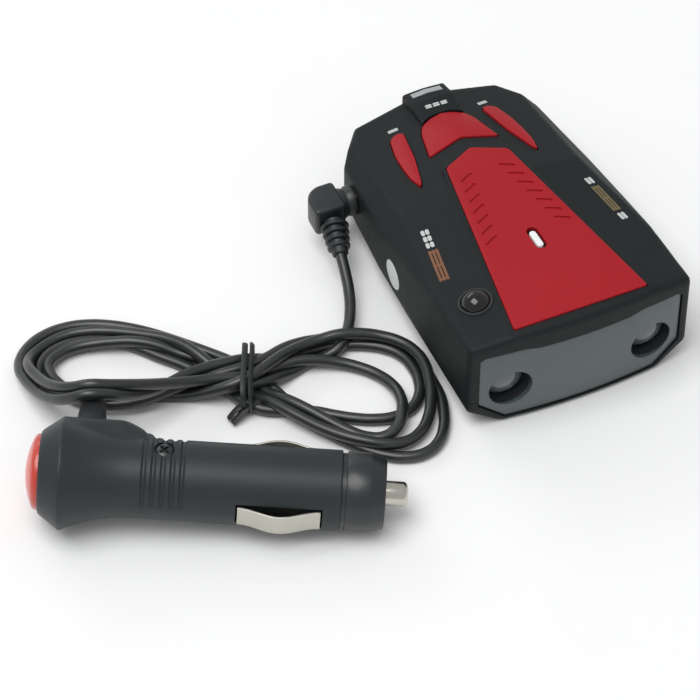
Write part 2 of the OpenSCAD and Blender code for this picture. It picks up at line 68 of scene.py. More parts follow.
# Right halves of the outlines, near end first
PLAN_HALF = [(33, -60), (33, -10), (32.5, 10), (30.2, 38.5), (22, 49.6), (0, 52)]
PANEL_HALF = [(19.8, -48.4), (9.5, 15.6), (0, 20.4)]
MIDDLE_HALF = [(0, 26.2), (10.7, 23.6), (8.2, 34.5), (6.6, 37.4), (3.6, 39), (0, 39.4)]
WINDOW_HALF = [
    (0, 1.5), (22.4, 1.7), (30.2, 8.4), (30.2, 26), (28.6, 27.2), (17.5, 27.4), (13, 26.4), (0, 26.2)
]
SLIM_OUTLINE = [
    (17.9, 13.8), (18.8, 18.5), (18.7, 24.5), (18.2, 30), (16.6, 37.2), (14.2, 38.8),
    (12.2, 38), (14.2, 26), (17, 15.4)
]
PIPE_AT = (0.8, -19.8)
DOME_AT = (-24, -33.6)
SIDE_LABEL_FRAME = Matrix.Translation((-32.75, 0, 12.7)) @ Matrix.Rotation(-0.025, 4, "Z")
SPEAKER_AT = (0, 20)
VENT_PITCH = 3.4
CASE_SCREWS = [(24, -22), (-24, -22), (24.5, 38.2), (-24.5, 38.2)]

# Low-voltage plug and the stretches of cord that aren't coiled
SOCKET = (30, 13.5)
PLUG_FACE_X = -31.3
RELIEF_FROM = (-39.4, 25, 12.6)
RELIEF_TO = (-41.5, 15.5, 10)
RUN_ROUTE = [
    (-41.5, 15.5, 10), (-42.2, 11, 8.3), (-43, 6, 6.4), (-44.5, 1, 5), (-47, -3.5, 4.2),
    (-48.8, -7, 4)
]
TAIL_ROUTE = [
    (-113.5, -2.6, 3.2), (-116.4, -1.6, 4.4), (-118.8, -1.2, 6.2), (-120.6, -1.6, 8.6),
    (-121.8, -2.9, 11.2), (-122.7, -4.9, 13.3), (-123.5, -7.2, 14.4), (-124.4, -9.8, 14.6)
]
BUNDLE_AT = Vector((-80, -9.6, 0))
BUNDLE_TURN = math.radians(-26.7)

# Lighter plug: X names are distances along its axis from the button end, R names are radii
FACE_X = 0.8
FACE_R = 10.9
RIM_X = 6.5
FLARE_END = 24
HUMP_FLAT = 22
HUMP_END = 33
HUMP_H = 14.6
STUB_X = 12.8
STUB_END = 26.5
SCREW_AT = (33, 2)
CONTACT_X = 52.8
CONTACT_L = 21.6
CONTACT_W = 6.4
CONTACT_RISE = 2.4
CONTACT_SHEET = 0.6
CONTACT_STEPS = 28
CAP_X = 79.5
CAP_END = 91
PLUG_L = 97
BARREL_R = 10.6
RIM_R = 15
NOSE_R = 10.4
TIP_R = 3.3
# The plug rests on its rim and on the edge of its nose cap, so it tilts down towards the tip
NOSE_REST_X = CAP_X + 7
PLUG_TILT = math.atan((RIM_R - NOSE_R) / (NOSE_REST_X - RIM_X))
PLUG_AT = Vector((-147.5, -28, RIM_R * math.cos(PLUG_TILT) + RIM_X * math.sin(PLUG_TILT)))
PLUG_FRAME = (
    Matrix.Translation(PLUG_AT) @ Matrix.Rotation(math.radians(-26), 4, "Z")
    @ Matrix.Rotation(PLUG_TILT, 4, "Y")
)


# ---- sizes and colours a user can change ---------------------------------


def length_property(name, description, default):
    return FloatProperty(
        name=name, description=description, default=default, unit="LENGTH", precision=5
    )


def colour_property(name, description, default):
    return FloatVectorProperty(
        name=name, description=description, default=default, subtype="COLOR", min=0.0, max=1.0
    )


class DetectorSizes(bpy.types.PropertyGroup):
    """Sizes of the detector's moulded pieces"""

    wall: length_property("Wall", "Thickness of the two shells", 0.002)
    seam_height: length_property("Seam height", "Height of the joint between the shells", 0.01)
    seam_gap: length_property("Seam gap", "Width of the joint line", 0.00016)
    edge_radius: length_property("Edge radius", "Rounding of the shells' outer edges", 0.0019)
    grain: length_property("Mesh step", "Spacing of the shells' surface mesh", 0.00095)
    proud: length_property("Proud", "Height of buttons and panel over the shell", 0.0005)
    button_gap: length_property("Button gap", "Gap round each top button", 0.0003)
    eye_radius: length_property("Eye radius", "Radius of the laser eyes", 0.0062)


class LeadSizes(bpy.types.PropertyGroup):
    """Sizes of the cord, its bundle and its plugs"""

    diameter: length_property("Cord diameter", "Outer diameter of the cord", 0.0032)
    length: length_property("Cord length", "Length from the small plug to the big one", 1.204)
    turns: IntProperty(name="Turns", description="Figure-of-eight turns in the bundle", default=4)
    step: length_property("Cord step", "Spacing of the points that the cord settles by", 0.003)
    settle: IntProperty(name="Settling", description="Steps of the cord's settling", default=140)


class Finishes(bpy.types.PropertyGroup):
    """Base colours of the object's finishes"""

    shell: colour_property("Shell", "Soft-touch shells", (0.0085, 0.0112, 0.012))
    window: colour_property("Window", "Smoked window plate", (0.066, 0.083, 0.086))
    red: colour_property("Red", "Red lacquer of panel and buttons", (0.285, 0.0085, 0.013))
    moulding: colour_property("Moulding", "Black mouldings", (0.016, 0.018, 0.02))
    housing: colour_property("Housing", "Lighter plug's housing", (0.0165, 0.022, 0.0245))
    cord: colour_property("Cord", "Cord's sheath", (0.0115, 0.0135, 0.014))
    switch: colour_property("Switch", "Switch button", (0.72, 0.055, 0.03))
    metal: colour_property("Metal", "Nickel plating", (0.56, 0.55, 0.49))


class Studio(bpy.types.PropertyGroup):
    """Camera and lights"""

    camera_at: FloatVectorProperty(
        name="Camera", description="Place of the camera", default=(-0.3137, -0.6007, 0.7275),
        subtype="TRANSLATION", unit="LENGTH"
    )
    target: FloatVectorProperty(
        name="Target", description="Point the camera looks at", default=(-0.05008, -0.01018, 0.0),
        subtype="TRANSLATION", unit="LENGTH"
    )
    roll: FloatProperty(
        name="Roll", description="Turn of the camera about its view", default=math.radians(-0.06),
        subtype="ANGLE"
    )
    focal_length: FloatProperty(name="Focal length", description="Lens, millimetres", default=182.3)
    key_power: FloatProperty(name="Key", description="Watts of the overhead softbox", default=18.5)
    fill_power: FloatProperty(name="Fill", description="Watts of the softbox behind", default=2.5)
    sky: FloatProperty(name="Sky", description="Strength of the even surround light", default=0.55)


GROUPS = {
    "detector_sizes": DetectorSizes, "lead_sizes": LeadSizes, "finishes": Finishes, "studio": Studio
}


def mm(length):
    return length / MM


# ---- shader expressions --------------------------------------------------


class Value:
    """A shader socket whose sums, products and powers become Math nodes"""

    def __init__(self, kit, socket):
        self.kit = kit
        self.socket = socket

    def math(self, operation, *values):
        node = self.kit.node("ShaderNodeMath", {"operation": operation}, dict(enumerate(values)))
        return Value(self.kit, node.outputs[0])

    def __add__(self, other):
        return self.math("ADD", self, other)

    def __radd__(self, other):
        return self.math("ADD", other, self)

    def __sub__(self, other):
        return self.math("SUBTRACT", self, other)

    def __rsub__(self, other):
        return self.math("SUBTRACT", other, self)

    def __mul__(self, other):
        return self.math("MULTIPLY", self, other)

    def __rmul__(self, other):
        return self.math("MULTIPLY", other, self)

    def __pow__(self, other):
        return self.math("POWER", self, other)

    def __gt__(self, other):
        return self.math("GREATER_THAN", self, other)

    def __lt__(self, other):
        return self.math("LESS_THAN", self, other)

    def band(self, low, high):
        """0 below low, 1 above high, smooth between"""
        settings = {"interpolation_type": "SMOOTHSTEP"}
        inputs = {"Value": self, "From Min": low, "From Max": high}
        node = self.kit.node("ShaderNodeMapRange", settings, inputs)
        return Value(self.kit, node.outputs["Result"])

    def size(self):
        return self.math("ABSOLUTE", self)

    def repeat(self):
        return self.math("FRACT", self)


class Kit:
    """One material and the nodes that it is made of"""

    def __init__(self, name):
        self.material = bpy.data.materials.new(name)
        self.material.use_nodes = True
        self.tree = self.material.node_tree
        self.shader = self.tree.nodes["Principled BSDF"]
        self.count = 0

    def node(self, kind, settings=None, inputs=None):
        """Add a node: its settings first, then its sockets' values or links"""
        node = self.tree.nodes.new(kind)
        self.count += 1
        node.location = (-220 * (1 + self.count // 4), 260 - 180 * (self.count % 4))
        for key, value in (settings or {}).items():
            setattr(node, key, value)
        for key, value in (inputs or {}).items():
            self.feed(node.inputs[key], value)
        return node

    def feed(self, socket, value):
        if isinstance(value, Value):
            self.tree.links.new(value.socket, socket)
        elif isinstance(value, bpy.types.NodeSocket):
            self.tree.links.new(value, socket)
        elif socket.type == "RGBA" and len(value) == 3:
            socket.default_value = (*value, 1.0)
        else:
            socket.default_value = value

    def set(self, **inputs):
        for key, value in inputs.items():
            self.feed(self.shader.inputs[key.replace("_", " ")], value)

    def place(self):
        """Object coordinates, metres"""
        return self.node("ShaderNodeTexCoord").outputs["Object"]

    def axes(self, turned_to=None):
        """X, Y and Z of a surface point in millimetres, in the object's or a given frame"""
        spot = self.place()
        if turned_to is not None:
            place, turn, _ = turned_to.inverted().decompose()
            inputs = {"Vector": spot, "Location": place * MM, "Rotation": turn.to_euler()}
            spot = self.node("ShaderNodeMapping", {"vector_type": "POINT"}, inputs).outputs["Vector"]
        parts = self.node("ShaderNodeSeparateXYZ", None, {"Vector": spot}).outputs
        return [Value(self, part) * (1 / MM) for part in parts]

    def noise(self, size, detail=2.0, roughness=0.5):
        """Noise from 0 to 1 whose features measure about size millimetres"""
        inputs = {
            "Vector": self.place(), "Scale": 1 / (size * MM), "Detail": detail, "Roughness": roughness
        }
        return Value(self, self.node("ShaderNodeTexNoise", None, inputs).outputs["Fac"])

    def pits(self, size):
        """Distance to the nearest of scattered points about size millimetres apart"""
        inputs = {"Vector": self.place(), "Scale": 1 / (size * MM)}
        return Value(self, self.node("ShaderNodeTexVoronoi", None, inputs).outputs["Distance"])

    def mix(self, factor, first, second):
        inputs = {0: factor, 6: first, 7: second}
        node = self.node("ShaderNodeMix", {"data_type": "RGBA"}, inputs)
        return node.outputs[2]

    def bump(self, height, depth):
        """Normal of a surface whose relief is depth millimetres deep"""
        inputs = {"Height": height, "Distance": depth * MM, "Strength": 1.0}
        return self.node("ShaderNodeBump", None, inputs).outputs["Normal"]


def shade(colour, factor):
    """A colour lighter or darker by a factor"""
    return tuple(min(1.0, part * factor) for part in colour)


def moulded(name, colour, roughness, grain=0.28, depth=0.012, drift=0.16, specular=0.5, coat=0.0):
    """Moulded plastic: spark-eroded grain, slow colour drift and rubbed patches"""
    kit = Kit(name)
    drift_mask = kit.noise(14.0, 3.0)
    speck = kit.noise(grain * 1.6, 2.0)
    rubbed = kit.noise(5.0, 4.0, 0.6).band(0.52, 0.74)
    base = kit.mix(drift_mask, shade(colour, 1 - drift), shade(colour, 1 + drift))
    base = kit.mix(speck.band(0.35, 0.75) * 0.3, base, shade(colour, 1.35))
    kit.set(Base_Color=base, Specular_IOR_Level=specular, Coat_Weight=coat)
    kit.set(Coat_Roughness=0.12)
    kit.set(Roughness=roughness - 0.035 * rubbed + 0.06 * (speck - 0.5))
    relief = kit.pits(grain).band(0.05, 0.6) * 0.7 + speck * 0.3
    kit.set(Normal=kit.bump(relief, depth))
    return kit


def finish_shell():
    colour = bpy.context.scene.finishes.shell
    return moulded("soft_touch_shell", colour, 0.58, grain=0.26, depth=0.014, specular=0.22).material


def finish_window():
    """Satin smoked plate with a fine grain and a thin coat"""
    colour = bpy.context.scene.finishes.window
    kit = moulded("smoked_window", colour, 0.36, grain=0.2, depth=0.004, drift=0.06, coat=0.25)
    return kit.material


def finish_red():
    """Satin lacquer over fine metallic flake"""
    colour = bpy.context.scene.finishes.red
    kit = Kit("red_lacquer")
    flake = kit.pits(0.22)
    cloud = kit.noise(9.0, 2.0)
    base = kit.mix(cloud, shade(colour, 0.9), shade(colour, 1.08))
    base = kit.mix(flake.band(0.1, 0.42) * 0.28, shade(colour, 1.25), base)
    kit.set(Base_Color=base, Coat_Weight=0.05, Coat_Roughness=0.3, Specular_IOR_Level=0.17)
    kit.set(Roughness=0.42 + 0.1 * (kit.noise(3.0, 3.0) - 0.5))
    kit.set(Normal=kit.bump(kit.noise(0.5, 2.0), 0.004))
    return kit.material


def finish_moulding(name, roughness, coat=0.0):
    colour = bpy.context.scene.finishes.moulding
    return moulded(name, colour, roughness, grain=0.22, depth=0.006, coat=coat).material


def finish_housing():
    colour = bpy.context.scene.finishes.housing
    kit = moulded("plug_housing", colour, 0.45, grain=0.24, depth=0.01, drift=0.1, specular=0.38)
    return kit.material


def finish_cord():
    """Extruded PVC: fine unevenness, scuffs and a soft sheen"""
    colour = bpy.context.scene.finishes.cord
    kit = Kit("cord_sheath")
    scuff = kit.noise(2.2, 4.0, 0.65).band(0.55, 0.8)
    base = kit.mix(scuff * 0.4, colour, shade(colour, 2.0))
    kit.set(Base_Color=base, Specular_IOR_Level=0.6, Coat_Weight=0.25, Coat_Roughness=0.22)
    kit.set(Roughness=0.36 + 0.16 * scuff + 0.05 * kit.noise(0.6, 2.0))
    kit.set(Normal=kit.bump(kit.noise(0.5, 3.0), 0.01))
    return kit.material


def finish_gloss_black():
    kit = Kit("gloss_black")
    haze = kit.noise(1.6, 3.0)
    kit.set(Base_Color=kit.mix(haze, (0.0025, 0.0025, 0.003), (0.006, 0.006, 0.007)))
    kit.set(Roughness=0.06 + 0.05 * haze, Coat_Weight=0.4, Coat_Roughness=0.03, Specular_IOR_Level=0.35)
    kit.set(Normal=kit.bump(kit.noise(2.5, 1.0), 0.002))
    return kit.material


def finish_clear(name, tint, roughness):
    """Clear moulded lens with faint flow marks"""
    kit = Kit(name)
    flow = kit.noise(2.0, 2.0)
    kit.set(Base_Color=kit.mix(flow, shade(tint, 0.92), tint), Specular_IOR_Level=0.6)
    kit.set(Roughness=roughness + 0.06 * flow, Coat_Weight=0.6, Coat_Roughness=0.05)
    kit.set(Normal=kit.bump(flow, 0.004))
    return kit.material


def finish_switch():
    """Translucent red cap, with painted shade that darkens it towards its rim"""
    colour = bpy.context.scene.finishes.switch
    kit = Kit("switch_cap")
    _, across, up = kit.axes(PLUG_FRAME)
    radius = (across * across + up * up) ** 0.5
    # Painted shade: the cap's base colour darkens from its middle towards its rim
    rim = radius.band(5.5, 9.8)
    base = kit.mix(rim, colour, shade(colour, 0.72))
    kit.set(Base_Color=base, Coat_Weight=0.5, Coat_Roughness=0.12, Specular_IOR_Level=0.5)
    kit.set(Roughness=0.3 + 0.08 * kit.noise(1.5, 3.0), Subsurface_Weight=0.15)
    kit.set(Subsurface_Radius=(0.002, 0.0005, 0.0003), Normal=kit.bump(kit.noise(0.5, 2.0), 0.004))
    return kit.material


def finish_nickel(name, roughness):
    """Plated sheet or turned metal: fine scratches, dull spots and a warm tarnish"""
    colour = bpy.context.scene.finishes.metal
    kit = Kit(name)
    line = kit.noise(0.35, 4.0, 0.7)
    tarnish = kit.noise(3.2, 3.0).band(0.45, 0.8)
    base = kit.mix(tarnish * 0.5, colour, (0.6, 0.55, 0.45))
    kit.set(Base_Color=base, Metallic=1.0 - 0.12 * tarnish)
    kit.set(Roughness=roughness + 0.12 * tarnish + 0.08 * line)
    kit.set(Normal=kit.bump(line, 0.004))
    return kit.material


def finish_steel():
    kit = Kit("screw_steel")
    spot = kit.noise(0.8, 3.0)
    kit.set(Base_Color=kit.mix(spot, (0.2, 0.2, 0.21), (0.34, 0.34, 0.35)), Metallic=1.0)
    kit.set(Roughness=0.32 + 0.15 * spot, Normal=kit.bump(spot, 0.006))
    return kit.material


def finish_print(name, colour):
    """Pad-printed ink with worn specks"""
    kit = Kit(name)
    gone = kit.noise(0.45, 4.0, 0.7).band(0.56, 0.7)
    ground = bpy.context.scene.finishes.shell
    kit.set(Base_Color=kit.mix(gone * 0.35, colour, shade(ground, 2.0)))
    kit.set(Roughness=0.5 + 0.1 * gone, Normal=kit.bump(gone, 0.004))
    return kit.material


def finish_label():
    """White film label with plain grey rules"""
    kit = Kit("label_film")
    x, y, z = kit.axes()
    paper = kit.noise(1.1, 4.0)
    rules = ((y * 0.42).repeat() - 0.5).size().band(0.3, 0.34) * (x.size() < 13)
    inside = (y > -29) * (y < -15)
    base = kit.mix(paper, (0.62, 0.65, 0.65), (0.74, 0.77, 0.77))
    base = kit.mix(rules * inside * (z < 2) * 0.55, base, (0.2, 0.22, 0.24))
    kit.set(Base_Color=base, Roughness=0.4 + 0.12 * paper, Coat_Weight=0.3, Coat_Roughness=0.15)
    kit.set(Normal=kit.bump(paper, 0.006))
    return kit.material


def finish_board():
    """Green solder mask with copper tracks and pads showing through"""
    kit = Kit("circuit_board")
    x = kit.axes()[0]
    track = ((x * 0.5).repeat() - 0.5).size().band(0.36, 0.42) * (kit.noise(6.0, 0.0) > 0.5)
    pad = 1 - kit.pits(3.0).band(0.16, 0.2)
    base = kit.mix(track, (0.008, 0.085, 0.03), (0.03, 0.17, 0.06))
    base = kit.mix(pad, base, (0.62, 0.5, 0.3))
    kit.set(Base_Color=base, Roughness=0.32 - 0.08 * pad, Metallic=pad * 0.8)
    kit.set(Normal=kit.bump(track + pad, 0.03))
    return kit.material


def finish_cast():
    kit = Kit("cast_zinc")
    grain = kit.noise(0.4, 4.0)
    kit.set(Base_Color=kit.mix(grain, (0.42, 0.43, 0.44), (0.6, 0.61, 0.62)), Metallic=1.0)
    kit.set(Roughness=0.45 + 0.15 * grain, Normal=kit.bump(grain, 0.03))
    return kit.material


def finish_paper_cone():
    kit = Kit("speaker_cone")
    fibre = kit.noise(0.5, 5.0)
    kit.set(Base_Color=kit.mix(fibre, (0.02, 0.02, 0.02), (0.06, 0.058, 0.055)))
    kit.set(Roughness=0.75 + 0.1 * fibre, Normal=kit.bump(fibre, 0.03))
    return kit.material


# ---- outlines and planes -------------------------------------------------


def both(half):
    """A right half and its mirror image as one closed outline"""
    mirrored = [(-x, y) for x, y in reversed(half) if x > 0]
    return list(half) + mirrored


def flipped(outline):
    return [(-x, y) for x, y in reversed(outline)]


def grown(outline, distance):
    """An anticlockwise outline moved outwards"""
    result = []
    for i, here in enumerate(outline):
        before = outline[i - 1]
        after = outline[(i + 1) % len(outline)]
        first = Vector((here[1] - before[1], before[0] - here[0])).normalized()
        second = Vector((after[1] - here[1], here[0] - after[0])).normalized()
        moved = Vector(here) + distance * (first + second) / (1 + first.dot(second))
        result.append(tuple(moved))
    return result


# The near end bows outwards over the detector's width
BOW_HALF = 33
BOW_RISE = 2.8
BOW_MIDDLE_Y = -52
BOW_R = (BOW_HALF ** 2 + BOW_RISE ** 2) / (2 * BOW_RISE)


def bow_y(x, inwards):
    """Y of the bowed window face at x, moved inwards"""
    return BOW_R + BOW_MIDDLE_Y - math.sqrt((BOW_R - inwards) ** 2 - x * x)


def plan_outline(inwards, arc_points=18):
    """The detector seen from above, moved inwards, with its bowed near end"""
    outline = grown(both(PLAN_HALF), -inwards)
    corner_x = outline[0][0]
    outline[0] = (corner_x, bow_y(corner_x, inwards))
    outline[-1] = (-corner_x, bow_y(corner_x, inwards))
    for i in range(1, arc_points):
        x = -corner_x + 2 * corner_x * i / arc_points
        outline.append((x, bow_y(x, inwards)))
    return outline


def mirrored_plane(plane):
    return (plane[0], -plane[1], plane[2])


def plane_cut(plane, lift=0.0):
    """Point and upward normal of a plane, raised along its normal"""
    length = math.sqrt(1 + plane[1] ** 2 + plane[2] ** 2)
    point = Vector((0, 0, plane[0] + lift * length))
    normal = Vector((-plane[1], -plane[2], 1)) / length
    return point, normal


def surface_frame(plane, x, y, turn=0.0):
    """Frame whose Z leaves a plane at a place over the base"""
    height = plane[0] + plane[1] * x + plane[2] * y
    up = plane_cut(plane)[1]
    side = Vector((1, 0, plane[1])).normalized()
    along = up.cross(side)
    axes = Matrix((side, along, up)).transposed().to_4x4()
    return Matrix.Translation((x, y, height)) @ axes @ Matrix.Rotation(turn, 4, "Z")


# ---- mesh work -----------------------------------------------------------


def prism(outline, low, high):
    """A closed block with a given outline"""
    bm = bmesh.new()
    corners = [bm.verts.new((x, y, low)) for x, y in outline]
    base = bm.faces.new(corners)
    made = bmesh.ops.extrude_face_region(bm, geom=[base])
    top = [item for item in made["geom"] if isinstance(item, bmesh.types.BMVert)]
    bmesh.ops.translate(bm, verts=top, vec=(0, 0, high - low))
    bmesh.ops.recalc_face_normals(bm, faces=bm.faces)
    return bm


def box(low, high):
    corners = [(low[0], low[1]), (high[0], low[1]), (high[0], high[1]), (low[0], high[1])]
    return prism(corners, low[2], high[2])


def trim(bm, point, normal):
    """Cut away what lies beyond a plane and close the cut"""
    geometry = bm.verts[:] + bm.edges[:] + bm.faces[:]
    made = bmesh.ops.bisect_plane(
        bm, geom=geometry, dist=1e-5, plane_co=point, plane_no=normal, clear_outer=True
    )
    rim = [item for item in made["geom_cut"] if isinstance(item, bmesh.types.BMEdge)]
    if rim:
        bmesh.ops.edgeloop_fill(bm, edges=rim)
    bmesh.ops.remove_doubles(bm, verts=bm.verts, dist=1e-4)
    bmesh.ops.recalc_face_normals(bm, faces=bm.faces)


def cut_over(bm, plane, lift):
    """Cut away what lies over a plane of the detector, raised by lift"""
    point, normal = plane_cut(plane, lift)
    trim(bm, point, normal)


def cut_under(bm, plane, lift):
    """Cut away what lies under a plane of the detector, raised by lift"""
    point, normal = plane_cut(plane, lift)
    trim(bm, point, -normal)


def score(bm, point, normal):
    """Divide faces along a plane without removing anything"""
    geometry = bm.verts[:] + bm.edges[:] + bm.faces[:]
    bmesh.ops.bisect_plane(bm, geom=geometry, dist=1e-5, plane_co=point, plane_no=normal)


def soften(bm, edges, radius, segments=3):
    bmesh.ops.bevel(
        bm, geom=edges, offset=radius, offset_type="OFFSET", segments=segments, profile=0.5,
        affect="EDGES", material=-1, clamp_overlap=True
    )


def sharp_edges(bm, least=math.radians(25), where=None):
    """Edges that turn by more than an angle, or those of them that a test picks"""
    found = []
    for edge in bm.edges:
        if len(edge.link_faces) == 2 and edge.calc_face_angle(0) > least:
            if where is None or where(edge):
                found.append(edge)
    return found


def middle_of(edge):
    return (edge.verts[0].co + edge.verts[1].co) / 2


def edges_above(bm, height, least=25):
    """Edges over a height that turn by more than least degrees"""
    return sharp_edges(bm, math.radians(least), lambda edge: middle_of(edge).z > height)


def turned(profile, steps=64, closed=False):
    """A solid of revolution about X from points (x, radius)"""
    bm = bmesh.new()
    points = [bm.verts.new((x, radius, 0)) for x, radius in profile]
    chain = [bm.edges.new((a, b)) for a, b in zip(points, points[1:])]
    if closed:
        chain.append(bm.edges.new((points[-1], points[0])))
    bmesh.ops.spin(
        bm, geom=points + chain, cent=(0, 0, 0), axis=(1, 0, 0), angle=math.tau, steps=steps,
        use_merge=True
    )
    bmesh.ops.remove_doubles(bm, verts=bm.verts, dist=1e-4)
    bmesh.ops.recalc_face_normals(bm, faces=bm.faces)
    return bm


# Turns that stand an X-axis solid up along Z, or lay it along Y
UPRIGHT = Matrix.Rotation(-math.pi / 2, 4, "Y")
LENGTHWAYS = Matrix.Rotation(math.pi / 2, 4, "Z")


def cylinder(low, high, radius, frame_of=Matrix.Identity(4), steps=48):
    """A closed cylinder along the X axis of a frame"""
    bm = turned([(low, 0), (low, radius), (high, radius), (high, 0)], steps)
    bmesh.ops.transform(bm, matrix=frame_of, verts=bm.verts)
    return bm


def arc(centre, radius, start, stop, count):
    """Points (x, y) of an arc, angles in degrees"""
    angles = [math.radians(start + (stop - start) * i / (count - 1)) for i in range(count)]
    return [(centre[0] + radius * math.cos(a), centre[1] + radius * math.sin(a)) for a in angles]


def placed(bm, matrix):
    bmesh.ops.transform(bm, matrix=matrix, verts=bm.verts)
    return bm


def joined(*parts):
    """Several separate meshes as one"""
    whole = bmesh.new()
    for part in parts:
        mesh = bpy.data.meshes.new("part")
        part.to_mesh(mesh)
        whole.from_mesh(mesh)
        part.free()
        bpy.data.meshes.remove(mesh)
    return whole


def scratch_object(bm):
    mesh = bpy.data.meshes.new("scratch")
    bm.to_mesh(mesh)
    bm.free()
    obj = bpy.data.objects.new("scratch", mesh)
    bpy.context.scene.collection.objects.link(obj)
    return obj


def through_modifier(bm, kind, **settings):
    """The mesh that a modifier makes of a mesh"""
    obj = scratch_object(bm)
    modifier = obj.modifiers.new("work", kind)
    for key, value in settings.items():
        setattr(modifier, key, value)
    result = bmesh.new()
    result.from_object(obj, bpy.context.evaluated_depsgraph_get())
    mesh = obj.data
    bpy.data.objects.remove(obj)
    bpy.data.meshes.remove(mesh)
    return result


def combined(bm, tool, operation="DIFFERENCE"):
    """Cut, join or keep a mesh by another closed mesh"""
    tool_object = scratch_object(tool)
    result = through_modifier(bm, "BOOLEAN", object=tool_object, operation=operation, solver="EXACT")
    mesh = tool_object.data
    bpy.data.objects.remove(tool_object)
    bpy.data.meshes.remove(mesh)
    bmesh.ops.remove_doubles(result, verts=result.verts, dist=2e-4)
    bmesh.ops.dissolve_degenerate(result, dist=1e-4, edges=result.edges)
    return result


def finished(bm, name, material, body, nodes=(), sharp=32):
    """Turn a mesh in millimetres into a piece that rides on a body"""
    bmesh.ops.scale(bm, vec=(MM, MM, MM), verts=bm.verts)
    mesh = bpy.data.meshes.new(name)
    bm.to_mesh(mesh)
    bm.free()
    if len(mesh.polygons) == 0:
        raise RuntimeError(f"{name} came out empty")
    mesh.shade_smooth()
    mesh.set_sharp_from_angle(angle=math.radians(sharp))
    mesh.materials.append(material)
    piece = bpy.data.objects.new(name, mesh)
    bpy.context.scene.collection.objects.link(piece)
    return attached(piece, body, nodes)


def attached(piece, body, nodes=()):
    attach(piece, body)
    if nodes:
        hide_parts(*nodes)
    return piece


# ---- stage ---------------------------------------------------------------


FLOOR_HALF = 3.0
LIGHT_TARGET = (-0.05, 0, 0)


def aim(obj, target, roll=0.0):
    """Turn a camera or lamp so that it looks at a point"""
    direction = Vector(target) - obj.location
    turn = direction.to_track_quat("-Z", "Y").to_matrix() @ Matrix.Rotation(roll, 3, "Z")
    obj.rotation_euler = turn.to_euler()


def softbox(name, place, width, height, power):
    """A rectangular lamp, in metres and watts, aimed at the middle of the object"""
    light = bpy.data.lights.new(name, "AREA")
    light.shape = "RECTANGLE"
    light.size = width
    light.size_y = height
    light.energy = power
    lamp = bpy.data.objects.new(name, light)
    lamp.location = place
    bpy.context.scene.collection.objects.link(lamp)
    aim(lamp, LIGHT_TARGET)


class DETECTOR_OT_stage(bpy.types.Operator):
    """Make the camera, the pale floor and the soft studio light"""

    bl_idname = "detector.stage"
    bl_label = "Camera, floor and lights"

    def execute(self, context):
        studio = context.scene.studio
        context.scene.view_settings.view_transform = "Standard"
        lens = bpy.data.cameras.new("camera")
        lens.lens = studio.focal_length
        lens.sensor_width = 36.0
        lens.clip_end = 20.0
        camera = bpy.data.objects.new("camera", lens)
        camera.location = studio.camera_at
        context.scene.collection.objects.link(camera)
        aim(camera, studio.target, studio.roll)
        context.scene.camera = camera
        bm = bmesh.new()
        bmesh.ops.create_grid(bm, x_segments=8, y_segments=8, size=FLOOR_HALF)
        mesh = bpy.data.meshes.new("floor")
        bm.to_mesh(mesh)
        bm.free()
        kit = Kit("pale_floor")
        fibre = kit.noise(60.0, 2.0)
        kit.set(Base_Color=kit.mix(fibre, (0.86, 0.865, 0.87), (0.9, 0.905, 0.905)))
        kit.set(Roughness=0.55 + 0.05 * fibre, Specular_IOR_Level=0.3)
        mesh.materials.append(kit.material)
        floor = bpy.data.objects.new("floor", mesh)
        context.scene.collection.objects.link(floor)
        softbox("overhead", (-0.55, -0.15, 1.6), 1.2, 1.0, studio.key_power)
        softbox("behind", (-0.3, 1.3, 0.8), 1.0, 0.4, studio.fill_power)
        world = bpy.data.worlds.new("surround")
        world.use_nodes = True
        sky = world.node_tree.nodes["Background"]
        sky.inputs["Color"].default_value = (1.0, 1.0, 1.0, 1.0)
        sky.inputs["Strength"].default_value = studio.sky
        context.scene.world = world
        return {"FINISHED"}


# ---- cord ----------------------------------------------------------------


def bundle_point(across, up, height):
    """World place of a point in the bundle's own frame, its long axis first"""
    spot = Matrix.Rotation(BUNDLE_TURN, 3, "Z") @ Vector((across, up, 0))
    return Vector((BUNDLE_AT.x + spot.x, BUNDLE_AT.y + spot.y, height))


def bundle_place(point):
    """Long and cross place in the bundle's frame of a world point"""
    spot = Matrix.Rotation(-BUNDLE_TURN, 3, "Z") @ (point - BUNDLE_AT)
    return spot.x, spot.y


# Where the entry arm begins, then the lobes of each turn of the figure of eight: reach from
# the tie, height of the upper and of the lower side, and how far the round end droops
ENTRY_ANGLE = math.radians(38)
ENTRY_ARM = (42.1, 12.0, 12.0, 0.0)
RIGHT_LOBES = [
    (49.8, 14.5, 13.6, 0.4), (56.3, 21.0, 21.0, -8.3),
    (42.6, 11.0, 16.4, -10.0), (51.0, 17.8, 21.7, -5.0),
]
LEFT_LOBES = [
    (59.0, 13.5, 9.5, -2.0), (62.9, 17.3, 24.5, -1.0),
    (57.0, 12.5, 12.0, -1.5), (61.5, 15.6, 21.5, -1.5),
]
# Powers of the sine and cosine that shape a lobe: the right ones, and the left ones' two sides
RIGHT_SHAPE = (0.75, 0.75)
UPPER_LEFT_SHAPE = (1.0, 0.9)
LOWER_LEFT_SHAPE = (2.1, 2.6)
# The two widest left lobes pass over the lighter plug's cord boot
BOOT_AT = -40
BOOT_RISE = 18.6
BOOT_SPAN = 19
OVER_BOOT = 20
# The tie pinches the strands together: how far along, how far down, the strands' spacing in
# cord diameters, and the lowest strand's height over the floor
PINCH = 9
TIE_SHIFT = -3.2
LANE_PITCH = 0.7
TIE_UNDER = 0.8
# Height of the first turn's middle, and of each turn over the last, in cord diameters
FIRST_TURN = 0.55
TURN_RISE = 0.3
STEPS_PER_TURN = 40


